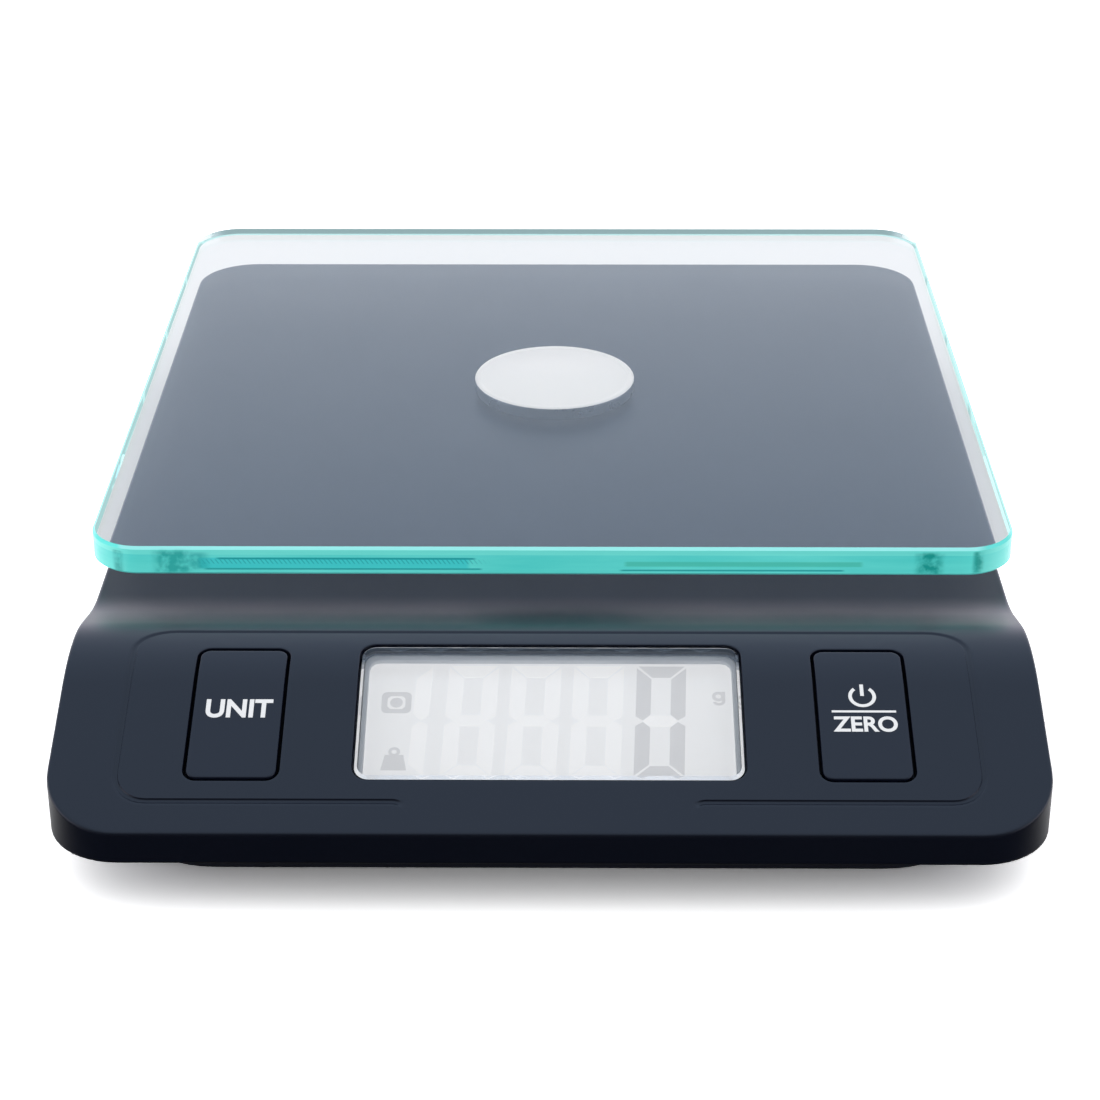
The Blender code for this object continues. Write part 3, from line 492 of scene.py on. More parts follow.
screw_spread = add_node(screw_tree, "GeometryNodeInstanceOnPoints", {"Points": screw_in.outputs["Geometry"],
                        "Instance": screw_cut.outputs["Mesh"]})
finish_tree(screw_tree, screw_spread.outputs["Instances"], screw_out)
case_screws = made_by(screw_tree, "case_screws", {"Material": zinc_plate},
                      [(x, y, SCREW_HEAD_Z) for x, y in CASE_SCREWS])
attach(case_screws, "case")
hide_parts("case_screw_1", "case_screw_2", "case_screw_3", "case_screw_4")


# ---------------------------------------------------------------- load cell
# A milled aluminium bar that bends a little under load, with strain gauges under blobs of
# white silicone. Bolts hold it to the tray, and a steel plate above takes the platform's load.

milled_aluminium = mixed_finish("milled_aluminium", (0.62, 0.63, 0.65), (0.76, 0.77, 0.79), 4.0,
                                (0.28, 0.42), (0.15, 0.010), metallic=1.0, stretch=(8, 1, 8))
gauge_silicone = mixed_finish("gauge_silicone", (0.70, 0.70, 0.68), (0.82, 0.82, 0.80), 1.5, (0.5, 0.7),
                              (0.5, 0.04))
dress(milled_aluminium, "load_cell_beam")
dress(gauge_silicone, "gauge_pad_1", "gauge_pad_2", "gauge_pad_3")
dress(zinc_plate, "load_cell_screw_1", "load_cell_screw_2", "load_shim", "load_plate",
      "load_plate_screw_1", "load_plate_screw_2", "hub_screw")


# ---------------------------------------------------------------- circuit board
# A fibreglass board with green solder mask, hung under the control panel by four screws. It
# carries a sealed chip, a can capacitor, two tact switches and the rubber display connector.

solder_mask = mixed_finish("solder_mask", (0.010, 0.10, 0.045), (0.016, 0.14, 0.06), 2.5, (0.3, 0.42),
                           (0.3, 0.010))
chip_epoxy = mixed_finish("chip_epoxy", (0.010, 0.010, 0.011), (0.020, 0.020, 0.022), 1.5, (0.25, 0.4),
                          (0.6, 0.02))
can_sleeve = mixed_finish("can_sleeve", (0.55, 0.56, 0.58), (0.70, 0.71, 0.73), 1.0, (0.25, 0.35),
                          (0.2, 0.005),
                          metallic=1.0)
stem_plastic = mixed_finish("stem_plastic", (0.70, 0.71, 0.72), (0.80, 0.81, 0.82), 2.0, (0.4, 0.5),
                            (0.2, 0.004))
dress(solder_mask, "main_board")
dress(chip_epoxy, "controller_blob", "unit_switch_body", "zero_switch_body")
dress(can_sleeve, "capacitor")
dress(stem_plastic, "unit_switch_stem", "zero_switch_stem", "backlight")
dress(gauge_silicone, "zebra_strip")
dress(zinc_plate, "board_screw_1", "board_screw_2", "board_screw_3", "board_screw_4")


# ---------------------------------------------------------------- top cover
# The upper half of the case, one injection moulding in dark satin plastic: a flat deck, a ramp
# up to a soft crest, and the sloping control panel with its engraved border line. Its edges
# and openings are eased, as the mould leaves them.

BODY = (-74.4, 74.4, -106.3, 98.05)
BODY_CORNER = 11.4
BODY_WALL = 2.2
TOP_WALL = 2.0
DECK_Z = 21.5
PANEL_SLOPE = math.radians(20.2)
RAMP_SLOPE = math.radians(15.5)
CREST_Y = -68.6
CREST_Z = 25.45
CREST_FRONT_RADIUS = 32.0
CREST_BACK_RADIUS = 26.0
RAMP_FOOT_RADIUS = 31.0
EDGE_ROUND = 0.45
SKIRT_ROUND = 0.6
EASE = 0.3                     # flat support beside every rounded edge
PANEL_Y = -84.0
LENS = (-28.95, 28.95, -13.3, 13.6)
LENS_CORNER = 2.2
LENS_CLEARANCE = 0.35
LENS_THICK = 2.0
LENS_LEDGE = 0.6
COLLAR_WALL = 1.2
COLLAR_BOTTOM = -4.4
KEY_U = 47.15
KEY = (-6.7, 6.7, -13.4, 12.3)
KEY_CORNER = 1.6
KEY_CLEARANCE = 0.5
HUB_CENTER = (0.0, 30.05)
HUB_HOLE_RADIUS = 13.0
LINE_HALF_X = 64.3
LINE_FRONT_Y = -100.65
LINE_BACK_Y = -66.4
LINE_END_X = 21.4
LINE_FRONT_CORNER = 5.0
LINE_BACK_CORNER = 6.0
LINE_SECTION = ((-0.85, 0.0), (-0.48, 0.0), (-0.41, 0.20), (-0.33, 0.25), (0.22, 0.20),
                (0.38, 0.04), (0.48, 0.0), (0.85, 0.0))

CREST_START = CREST_Y - CREST_FRONT_RADIUS * math.sin(PANEL_SLOPE)
CREST_START_Z = CREST_Z - CREST_FRONT_RADIUS * (1 - math.cos(PANEL_SLOPE))
RAMP_TOP = CREST_Y + CREST_BACK_RADIUS * math.sin(RAMP_SLOPE)
RAMP_TOP_Z = CREST_Z - CREST_BACK_RADIUS * (1 - math.cos(RAMP_SLOPE))
RAMP_DROP = RAMP_TOP_Z - DECK_Z - RAMP_FOOT_RADIUS * (1 - math.cos(RAMP_SLOPE))
RAMP_END = RAMP_TOP + RAMP_DROP / math.tan(RAMP_SLOPE)
DECK_START = RAMP_END + RAMP_FOOT_RADIUS * math.sin(RAMP_SLOPE)


def body_top(y):
    """Height of the cover's outer surface."""
    if y < CREST_START:
        return CREST_START_Z + (y - CREST_START) * math.tan(PANEL_SLOPE)
    if y < CREST_Y:
        return CREST_Z - CREST_FRONT_RADIUS + math.sqrt(CREST_FRONT_RADIUS ** 2 - (CREST_Y - y) ** 2)
    if y < RAMP_TOP:
        return CREST_Z - CREST_BACK_RADIUS + math.sqrt(CREST_BACK_RADIUS ** 2 - (y - CREST_Y) ** 2)
    if y < RAMP_END:
        return RAMP_TOP_Z - (y - RAMP_TOP) * math.tan(RAMP_SLOPE)
    if y < DECK_START:
        return DECK_Z + RAMP_FOOT_RADIUS - math.sqrt(RAMP_FOOT_RADIUS ** 2 - (DECK_START - y) ** 2)
    return DECK_Z


def body_under(y):
    """Height of the cover's inner surface."""
    slope = (body_top(y + 0.05) - body_top(y - 0.05)) / 0.1
    return body_top(y) - TOP_WALL * math.hypot(1, slope)


PANEL_ORIGIN = Vector((0.0, PANEL_Y, body_top(PANEL_Y)))
PANEL_UP = Vector((0.0, math.cos(PANEL_SLOPE), math.sin(PANEL_SLOPE)))
PANEL_OUT = Vector((0.0, -math.sin(PANEL_SLOPE), math.cos(PANEL_SLOPE)))


def on_panel(u, v, w):
    """Point from the control panel's own axes: right, up the slope, out of the panel."""
    return PANEL_ORIGIN + Vector((u, 0.0, 0.0)) + PANEL_UP * v + PANEL_OUT * w


def panel_surface(u, v, drop=0.0):
    """Point of the curved surface on the panel's normal through (u, v), sunk by drop."""
    w = 0.0
    for _ in range(12):
        point = on_panel(u, v, w)
        w += (body_top(point.y) - point.z) * math.cos(PANEL_SLOPE)
    return on_panel(u, v, w - drop)


def panel_ring(path, grow, drop=None, w=None):
    """Ring round a panel opening: sunk below the surface by drop, or at the flat depth w."""
    ring = []
    for u, v, nu, nv in path:
        pu, pv = u + nu * grow, v + nv * grow
        ring.append(panel_surface(pu, pv, drop) if w is None else on_panel(pu, pv, w))
    return ring


def grown_path(limits, corner, grow, pitch=1.5, turn=10.0):
    x0, x1, y0, y1 = limits
    return round_path((x0 - grow, x1 + grow, y0 - grow, y1 + grow), corner + grow, pitch, turn)


def shifted(limits, du):
    return (limits[0] + du, limits[1] + du, limits[2], limits[3])


def within(point, loop):
    """Whether a plan point lies inside a closed loop."""
    inside = False
    x, y = point
    for a, b in zip(loop, loop[1:] + loop[:1]):
        if (a[1] > y) != (b[1] > y):
            if x < (b[0] - a[0]) * (y - a[1]) / (b[1] - a[1]) + a[0]:
                inside = not inside
    return inside


def sheet_faces(bm, outer, holes, lines, spots):
    """Triangles over the plan inside outer, outside holes, keeping every given line as an edge."""
    verts = []
    edges = []
    for loop in [outer] + holes:
        start = len(verts)
        verts += loop
        edges += [(start + i, start + (i + 1) % len(loop)) for i in range(len(loop))]
    for line in lines:
        start = len(verts)
        verts += line
        edges += [(start + i, start + i + 1) for i in range(len(line) - 1)]
    verts += spots
    plan = [Vector((vert.co.x, vert.co.y)) for vert in verts]
    _, _, faces, origin, _, _ = geometry.delaunay_2d_cdt(plan, edges, [], 0, 1e-7)
    outer_plan = [(v.co.x, v.co.y) for v in outer]
    hole_plans = [[(v.co.x, v.co.y) for v in hole] for hole in holes]
    for face in faces:
        corners = [verts[origin[i][0]] for i in face]
        middle = (sum(v.co.x for v in corners) / 3, sum(v.co.y for v in corners) / 3)
        if within(middle, outer_plan) and not any(within(middle, hole) for hole in hole_plans):
            bm.faces.new(corners)


def stations(start, end, pitch):
    count = max(1, round((end - start) / pitch))
    return [start + (end - start) * i / count for i in range(count + 1)]


def curved_rows(y0, y1, fine, coarse):
    """Rows along Y, close together where the surface curves."""
    rows = []
    for start, end, pitch in ((y0, CREST_START, coarse), (CREST_START, RAMP_TOP, fine),
                              (RAMP_TOP, RAMP_END, coarse), (RAMP_END, DECK_START, fine),
                              (DECK_START, y1, coarse)):
        start, end = max(start, y0), min(end, y1)
        if end > start:
            rows += [y for y in stations(start, end, pitch) if not rows or y > rows[-1] + 0.2]
    return rows


def free_spots(bm, rows, columns, height, blockers, space):
    """Surface vertices on a grid, clear of every blocking line by space."""
    spots = []
    for y in rows:
        for x in columns:
            if all((x - px) ** 2 + (y - py) ** 2 > space ** 2 for px, py in blockers):
                spots.append(bm.verts.new((x, y, height(y))))
    return spots


def border_line():
    """Centre of the engraved line as (x, y, nx, ny), from one front end round to the other."""
    x_in = LINE_HALF_X - LINE_BACK_CORNER
    half = []
    for i in range(5):
        t = i / 4
        half.append((LINE_END_X + 1.6 * t, LINE_FRONT_Y - 0.7 * (1 - t) ** 2, 0.35 * (1 - t), -1.0))
    for x in stations(LINE_END_X + 2.8, LINE_HALF_X - LINE_FRONT_CORNER, 1.6)[:-1]:
        half.append((x, LINE_FRONT_Y, 0.0, -1.0))
    for i in range(9):
        angle = math.radians(-90 + 90 * i / 8)
        nx, ny = math.cos(angle), math.sin(angle)
        half.append((LINE_HALF_X - LINE_FRONT_CORNER + LINE_FRONT_CORNER * nx,
                     LINE_FRONT_Y + LINE_FRONT_CORNER + LINE_FRONT_CORNER * ny, nx, ny))
    for y in stations(LINE_FRONT_Y + LINE_FRONT_CORNER, LINE_BACK_Y - LINE_BACK_CORNER, 1.4)[1:-1]:
        half.append((LINE_HALF_X, y, 1.0, 0.0))
    for i in range(9):
        angle = math.radians(90 * i / 8)
        nx, ny = math.cos(angle), math.sin(angle)
        half.append((x_in + LINE_BACK_CORNER * nx, LINE_BACK_Y - LINE_BACK_CORNER + LINE_BACK_CORNER * ny,
                     nx, ny))
    for x in reversed(stations(0.0, x_in, 1.6)[:-1]):
        half.append((x, LINE_BACK_Y, 0.0, 1.0))
    mirrored = [(-x, y, -nx, ny) for x, y, nx, ny in reversed(half[:-1])]
    return half + mirrored


cover_bm = bmesh.new()
body_path = round_path(BODY, BODY_CORNER, 1.4, 7.5)
outside = [ring_at(body_path, -EDGE_ROUND - EASE, body_top)]
for inset, drop in rounded_over(EDGE_ROUND):
    outside.append(ring_at(body_path, -inset, lambda y, drop=drop: body_top(y) - drop))
outside.append(ring_at(body_path, 0, lambda y: body_top(y) - EDGE_ROUND - EASE))
outside.append(ring_at(body_path, 0, SKIRT_Z + SKIRT_ROUND + EASE))
for inset, drop in reversed(rounded_over(SKIRT_ROUND)):
    outside.append(ring_at(body_path, -inset, SKIRT_Z + drop))
outside += [ring_at(body_path, -BODY_WALL, SKIRT_Z), ring_at(body_path, -BODY_WALL, body_under)]
outside_rings = add_rings(cover_bm, outside)
band(cover_bm, outside_rings)

window_path = grown_path(LENS, LENS_CORNER, LENS_CLEARANCE)
window = [panel_ring(window_path, 0.18 + EASE, drop=0.0)]
for inset, drop in rounded_over(0.18, 3):
    window.append(panel_ring(window_path, inset, drop=drop))
window += [panel_ring(window_path, 0, drop=LENS_THICK + 0.3),
           panel_ring(window_path, -LENS_LEDGE, drop=LENS_THICK + 0.3),
           panel_ring(window_path, -LENS_LEDGE, w=COLLAR_BOTTOM), panel_ring(window_path, COLLAR_WALL,
                                                                             w=COLLAR_BOTTOM),
           panel_ring(window_path, COLLAR_WALL, drop=TOP_WALL)]
window_rings = add_rings(cover_bm, window)
band(cover_bm, window_rings)
top_holes = [window_rings[0]]
under_holes = [window_rings[-1]]
for side in (-1, 1):
    key_path = grown_path(shifted(KEY, side * KEY_U), KEY_CORNER, KEY_CLEARANCE)
    rings = [panel_ring(key_path, 0.15 + EASE, drop=0.0)]
    for inset, drop in rounded_over(0.15, 3):
        rings.append(panel_ring(key_path, inset, drop=drop))
    rings.append(panel_ring(key_path, 0, drop=TOP_WALL))
    rings = add_rings(cover_bm, rings)
    band(cover_bm, rings)
    top_holes.append(rings[0])
    under_holes.append(rings[-1])
hub_path = disc_path(HUB_HOLE_RADIUS, HUB_CENTER, 72)
hub_rings = [ring_at(hub_path, 0.4 + EASE, DECK_Z)]
hub_rings += [ring_at(hub_path, inset, DECK_Z - drop) for inset, drop in rounded_over(0.4)]
hub_rings.append(ring_at(hub_path, 0, DECK_Z - TOP_WALL))
hub_rings = add_rings(cover_bm, hub_rings)
band(cover_bm, hub_rings)
top_holes.append(hub_rings[0])
under_holes.append(hub_rings[-1])

line_path = border_line()
line_rows = []
for offset, depth in LINE_SECTION:
    row = []
    for index, (x, y, nx, ny) in enumerate(line_path):
        fade = min(1.0, index / 2, (len(line_path) - 1 - index) / 2)
        px, py = x + nx * offset, y + ny * offset
        row.append(cover_bm.verts.new((px, py, body_top(py) - depth * fade)))
    line_rows.append(row)
blocked = [(v.co.x, v.co.y) for loop in top_holes + [outside_rings[0]] + line_rows for v in loop]
columns = stations(-72.0, 72.0, 4.0)
cover_spots = free_spots(cover_bm, curved_rows(-104.0, 96.0, 0.9, 5.0), columns, body_top, blocked, 1.0)
sheet_faces(cover_bm, outside_rings[0], top_holes, line_rows, cover_spots)
under_blocked = [(v.co.x, v.co.y) for loop in under_holes + [outside_rings[-1]] for v in loop]
under_spots = free_spots(cover_bm, curved_rows(-102.0, 94.0, 2.5, 12.0), stations(-70.0, 70.0, 10.0),
                         body_under, under_blocked, 1.5)
sheet_faces(cover_bm, outside_rings[-1], under_holes, [], under_spots)
top_cover = piece_from("top_shell", cover_bm, case_plastic, sharp=50)
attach(top_cover, "case")
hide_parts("top_cover")


# ---------------------------------------------------------------- display
# A liquid crystal cell with a pale backing in a white moulded frame. Its digits are printed
# electrodes: the ones in use stand out grey, and the rest show only as a faint ghost. Cell and
# digits glow by emission, a painted glow that keeps them bright in the window's shade.

FRAME_OUT = (-32.2, 32.2, -14.4, 15.9)
FRAME_VIEW = (-28.0, 28.0, -12.6, 12.6)
FRAME_TOP = -4.7
FRAME_BOTTOM = -7.9
FRAME_LIP = 0.6
CELL = (-30.6, 30.6, -13.2, 15.0)
CELL_TOP = -5.6
DIGIT_WIDTH = 7.65
DIGIT_HEIGHT = 21.8
DIGIT_STROKE = 2.3
DIGIT_SPLIT = 0.13
DIGIT_SLANT = 0.04
DIGIT_PITCH = 9.68
LAST_DIGIT_U = 16.85
DIGIT_V = 1.45
PRINT_THICK = 0.02
PRINT_W = CELL_TOP + 0.02
CELL_PAINTED_GLOW = (1.0, 0.965, 0.93, 1.0)

frame_plastic = mixed_finish("frame_plastic", (0.66, 0.68, 0.71), (0.72, 0.74, 0.77), 6.0, (0.45, 0.55),
                             (0.25, 0.004))
outer_path = round_path(FRAME_OUT, 0.8, 6.0, 30)
view_path = round_path(FRAME_VIEW, 1.6, 6.0, 30)
pocket_path = round_path((CELL[0] - 0.3, CELL[1] + 0.3, CELL[2] - 0.3, CELL[3] + 0.3), 0.4, 6.0, 30)

frame_bm = bmesh.new()
frame_loops = add_rings(frame_bm, [
    [on_panel(u + nu * g, v + nv * g, w) for u, v, nu, nv in path] for path, g, w in (
        (outer_path, 0, FRAME_BOTTOM), (outer_path, 0, FRAME_TOP - 0.2), (outer_path, -0.2, FRAME_TOP))])
band(frame_bm, frame_loops)
view_loops = add_rings(frame_bm, [
    [on_panel(u + nu * g, v + nv * g, w) for u, v, nu, nv in path] for path, g, w in (
        (view_path, 0.25, FRAME_TOP), (view_path, 0.07, FRAME_TOP - 0.07), (view_path, 0, FRAME_TOP - 0.25),
        (view_path, 0, FRAME_TOP - FRAME_LIP))])
band(frame_bm, view_loops)
pocket_loops = add_rings(frame_bm, [
    [on_panel(u, v, w) for u, v, nu, nv in pocket_path] for w in (FRAME_TOP - FRAME_LIP, FRAME_BOTTOM)])
band(frame_bm, pocket_loops)
sheet_faces(frame_bm, frame_loops[-1], [view_loops[0]], [], [])
sheet_faces(frame_bm, pocket_loops[0], [view_loops[-1]], [], [])
sheet_faces(frame_bm, frame_loops[0], [pocket_loops[-1]], [], [])
display_frame = piece_from("display_bezel", frame_bm, frame_plastic)
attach(display_frame, "case")
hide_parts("display_frame")

cell_glass = mixed_finish("cell_glass", (0.64, 0.64, 0.65), (0.67, 0.67, 0.68), 14.0, (0.12, 0.16),
                          (0.8, 0.0004))
# The cell glows by emission: painted light, as from a backlight, that keeps it bright in the window's
# shade.
cell_shader = cell_glass.node_tree.nodes["Principled BSDF"]
cell_shader.inputs["Emission Color"].default_value = CELL_PAINTED_GLOW
cell_shader.inputs["Emission Strength"].default_value = 0.425
cell_path = round_path(CELL, 0.3, 6.0, 30)
cell_rings = [[on_panel(u + nu * g, v + nv * g, w) for u, v, nu, nv in cell_path] for g, w in (
    (-0.1, -7.9), (0, -7.8), (0, CELL_TOP - 0.1), (-0.1, CELL_TOP))]
lcd_cell = solid("lcd_cell", cell_rings, cell_glass)
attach(lcd_cell, "case")
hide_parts("lcd_glass")


def segment_shapes():
    """Outlines of the seven strokes of one digit about its centre, with mitred ends."""
    w, h, s, g = DIGIT_WIDTH / 2, DIGIT_HEIGHT / 2, DIGIT_STROKE, DIGIT_SPLIT
    top = [(-w + g * 2, h), (w - g * 2, h), (w - s - g, h - s + g), (-w + s + g, h - s + g)]
    middle = [(-w + s * 0.55, 0), (-w + s, s * 0.45), (w - s, s * 0.45), (w - s * 0.55, 0),
              (w - s, -s * 0.45), (-w + s, -s * 0.45)]
    right_high = [(w, h - g * 2.5), (w - s, h - s - g * 1.5), (w - s, s * 0.5 + g), (w - s * 0.5, g * 1.2),
                  (w, s * 0.42)]
    flip_x = lambda shape: [(-x, y) for x, y in shape]
    flip_y = lambda shape: [(x, -y) for x, y in shape]
    return {"top": top, "middle": middle, "bottom": flip_y(top), "right_high": right_high,
            "right_low": flip_y(right_high), "left_high": flip_x(right_high),
            "left_low": flip_y(flip_x(right_high))}


def printed(name, shapes, mat, depth, spot=(0.0, 0.0), slant=0.0):
    """Thin print of flat outlines, laid on the display at a depth w."""
    bm = bmesh.new()
    for shape in shapes:
        rings = []
        for w in (depth, depth + PRINT_THICK):
            rings.append([on_panel(x + y * slant + spot[0], y + spot[1], w) for x, y in shape])
        loops = add_rings(bm, rings)
        band(bm, loops)
        bm.faces.new(list(reversed(loops[0])))
        bm.faces.new(loops[1])
    return piece_from(name, bm, mat)


def ring_shapes(radius, width, center, steps=32):
    """A flat ring as a run of short four-sided tiles."""
    tiles = []
    for i in range(steps):
        corners = []
        for k, r in ((i, radius), (i + 1, radius), (i + 1, radius - width), (i, radius - width)):
            angle = 2 * math.pi * k / steps
            corners.append((center[0] + r * math.cos(angle), center[1] + r * math.sin(angle)))
        tiles.append(corners)
    return tiles


segment_ink = mixed_finish("segment_ink", (0.42, 0.42, 0.44), (0.46, 0.46, 0.48), 3.0, (0.3, 0.4),
                           (0.5, 0.001))
ghost_ink = mixed_finish("ghost_ink", (0.67, 0.67, 0.68), (0.70, 0.70, 0.71), 3.0, (0.14, 0.2),
                         (0.5, 0.001))
# The inks glow the same way: painted glow.
for ink, strength in ((segment_ink, 0.36), (ghost_ink, 0.47)):
    glow = ink.node_tree.nodes["Principled BSDF"]
    glow.inputs["Emission Color"].default_value = CELL_PAINTED_GLOW
    glow.inputs["Emission Strength"].default_value = strength
strokes = segment_shapes()
lit = [shape for name, shape in strokes.items() if name != "middle"]
digit = printed("display_digit", lit, segment_ink, PRINT_W, (LAST_DIGIT_U, DIGIT_V), DIGIT_SLANT)
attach(digit, "case")

ghost_cell = printed("ghost_cell", list(strokes.values()), ghost_ink, PRINT_W,
                     (LAST_DIGIT_U - 3 * DIGIT_PITCH, DIGIT_V), DIGIT_SLANT)
ghost_tree, ghost_in, ghost_out = new_tree("ghost_digits", (
    ("Digit", "Object", None), ("Digits", "Int", 3), ("Digit pitch", "Float", DIGIT_PITCH * MM),
    ("Material", "Material", None)))
ghost_step = add_node(ghost_tree, "ShaderNodeCombineXYZ", {"X": ghost_in.outputs["Digit pitch"]})
ghost_row = add_node(ghost_tree, "GeometryNodeMeshLine", {"Count": ghost_in.outputs["Digits"],
                     "Offset": ghost_step.outputs["Vector"]}, mode="OFFSET")
ghost_source = add_node(ghost_tree, "GeometryNodeObjectInfo", {"Object": ghost_in.outputs["Digit"]})
ghost_spread = add_node(ghost_tree, "GeometryNodeInstanceOnPoints", {"Points": ghost_row.outputs["Mesh"],
                        "Instance": ghost_source.outputs["Geometry"]})
finish_tree(ghost_tree, ghost_spread.outputs["Instances"], ghost_out)
ghosts = made_by(ghost_tree, "display_ghost_digits", {"Digit": ghost_cell, "Material": ghost_ink})
bpy.data.objects.remove(ghost_cell)
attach(ghosts, "case")
half_digit = printed("display_ghost_extras", [strokes["right_high"], strokes["right_low"]], ghost_ink,
                     PRINT_W, (LAST_DIGIT_U - 4 * DIGIT_PITCH - 0.6, DIGIT_V), DIGIT_SLANT)
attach(half_digit, "case")
unlit = printed("display_ghost_bar", [strokes["middle"]], ghost_ink, PRINT_W,
                (LAST_DIGIT_U, DIGIT_V), DIGIT_SLANT)
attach(unlit, "case")

STEADY_SPOT = (-23.6, 5.0)
WEIGHT_SPOT = (-23.5, -6.0)
steady_frame = [(x, y) for x, y, _, _ in round_path((-2.3, 2.3, -2.1, 2.1), 0.9, 2.0, 15)]
steady_tiles = []
for k in range(len(steady_frame)):
    pair = [steady_frame[k], steady_frame[(k + 1) % len(steady_frame)]]
    near = [(x * 1.55 / math.hypot(x, y), y * 1.55 / math.hypot(x, y)) for x, y in reversed(pair)]
    steady_tiles.append(pair + near)
steady_tiles.append([(0.98 * math.cos(math.radians(15 * k)),
                      0.98 * math.sin(math.radians(15 * k))) for k in range(24)])
steady = printed("display_steady_mark", steady_tiles, segment_ink, PRINT_W, STEADY_SPOT)
weight_tiles = [[(-1.95, -2.2), (1.95, -2.2), (1.40, 0.75), (-1.40, 0.75)]] + ring_shapes(0.9, 0.5,
                                                                                          (0, 1.35), 20)
weight = printed("display_weight_mark", weight_tiles, segment_ink, PRINT_W, WEIGHT_SPOT)
for mark in (steady, weight):
    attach(mark, "case")


def lettering(name, text, height, width, spot, depth, mat, weight):
    """Flat lettering on the panel, as tall and wide (mm) as given, centred on spot."""
    curve = bpy.data.curves.new(name, "FONT")
    curve.body = text
    curve.align_x = "CENTER"
    curve.offset = weight
    curve.resolution_u = 6
    curve.extrude = 0.5
    letters = bpy.data.objects.new(name, curve)
    bpy.context.scene.collection.objects.link(letters)
    graph = bpy.context.evaluated_depsgraph_get()
    mesh = bpy.data.meshes.new_from_object(letters.evaluated_get(graph), depsgraph=graph)
    bpy.data.objects.remove(letters)
    xs = [v.co.x for v in mesh.vertices]
    ys = [v.co.y for v in mesh.vertices]
    for vert in mesh.vertices:
        u = ((vert.co.x - min(xs)) / (max(xs) - min(xs)) - 0.5) * width + spot[0]
        v = ((vert.co.y - min(ys)) / (max(ys) - min(ys)) - 0.5) * height + spot[1]
        lift = depth + (PRINT_THICK if vert.co.z > 0 else 0.0)
        vert.co = panel_surface(u, v, -lift) * MM
    mesh.materials.clear()
    mesh.materials.append(mat)
    piece = bpy.data.objects.new(name, mesh)
    bpy.context.scene.collection.objects.link(piece)
    return piece


letter_tiles = ring_shapes(0.98, 0.55, (-0.08, 0.42), 24)
letter_tiles.append([(0.48, 1.40), (0.98, 1.40), (0.98, -0.55), (0.48, -0.55)])
for k in range(10):
    tile = []
    for step, r in ((k, 0.98), (k + 1, 0.98), (k + 1, 0.46), (k, 0.46)):
        angle = math.radians(-16.5 * step)
        tile.append((r * math.cos(angle), -0.50 + 0.9 * r * math.sin(angle)))
    letter_tiles.append(tile)
unit_letter = printed("display_unit_letter", letter_tiles, segment_ink, PRINT_W, (25.95, 5.95))
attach(unit_letter, "case")


# ---------------------------------------------------------------- display lens
# A clear acrylic plate that drops into the window and ends flush with the panel. Its top edge
# is bevelled, and the bevel catches the light as a bright line.

LENS_BEVEL = 0.45


def skin_rows(bm, path_ring, drop, pitch_u=6.0):
    """Spots on the panel surface inside a ring, sunk by drop."""
    low_x = min(v.co.x for v in path_ring)
    high_x = max(v.co.x for v in path_ring)
    spots = []
    edge = [(v.co.x, v.co.y) for v in path_ring]
    middle_u = (low_x + high_x) / 2
    half_u = (high_x - low_x) / 2
    for v in stations(-14.0, 14.0, 0.9):
        for u in stations(middle_u - half_u, middle_u + half_u, pitch_u):
            point = panel_surface(u, v, drop)
            if within((point.x, point.y), edge):
                if all((point.x - px) ** 2 + (point.y - py) ** 2 > 0.64 for px, py in edge):
                    spots.append(bm.verts.new(point))
    return spots


def see_through(name, colour, bending):
    """Clear polished material of a refractive index."""
    mat = bpy.data.materials.new(name)
    mat.use_nodes = True
    shader = mat.node_tree.nodes["Principled BSDF"]
    shader.inputs["Base Color"].default_value = (*colour, 1.0)
    shader.inputs["Transmission Weight"].default_value = 1.0
    shader.inputs["IOR"].default_value = bending
    shader.inputs["Roughness"].default_value = 0.0
    return mat


clear_acrylic = see_through("clear_acrylic", (0.97, 0.98, 0.985), 1.49)

lens_bm = bmesh.new()
lens_path = grown_path(LENS, LENS_CORNER, 0.0)
lens_rings = add_rings(lens_bm, [panel_ring(lens_path, -LENS_BEVEL, drop=0.0),
                                 panel_ring(lens_path, 0, drop=LENS_BEVEL),
                                 panel_ring(lens_path, 0, drop=LENS_THICK)])
band(lens_bm, lens_rings)
sheet_faces(lens_bm, lens_rings[0], [], [], skin_rows(lens_bm, lens_rings[0], 0.0))
sheet_faces(lens_bm, lens_rings[-1], [], [], skin_rows(lens_bm, lens_rings[-1], LENS_THICK))
lens = piece_from("window_lens", lens_bm, clear_acrylic)
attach(lens, "case")
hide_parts("display_lens")


# ---------------------------------------------------------------- keys
# Two key caps in the case's plastic, flush with the panel and hung under it by a
# lip. Their legends are pad printed in white.

KEY_ROUND = 0.28
KEY_LIP = 1.6
KEY_LIP_TOP = -3.7
KEY_LIP_BOTTOM = -4.9
PRINT_LIFT = 0.005

key_plastic = mixed_finish("key_plastic", (0.0026, 0.0045, 0.0132), (0.0034, 0.0054, 0.0154), 8.0,
                           (0.32, 0.37), (0.60, 0.0006))
pad_print = mixed_finish("pad_print", (0.78, 0.79, 0.81), (0.86, 0.87, 0.88), 1.0, (0.4, 0.55),
                         (0.15, 0.002))


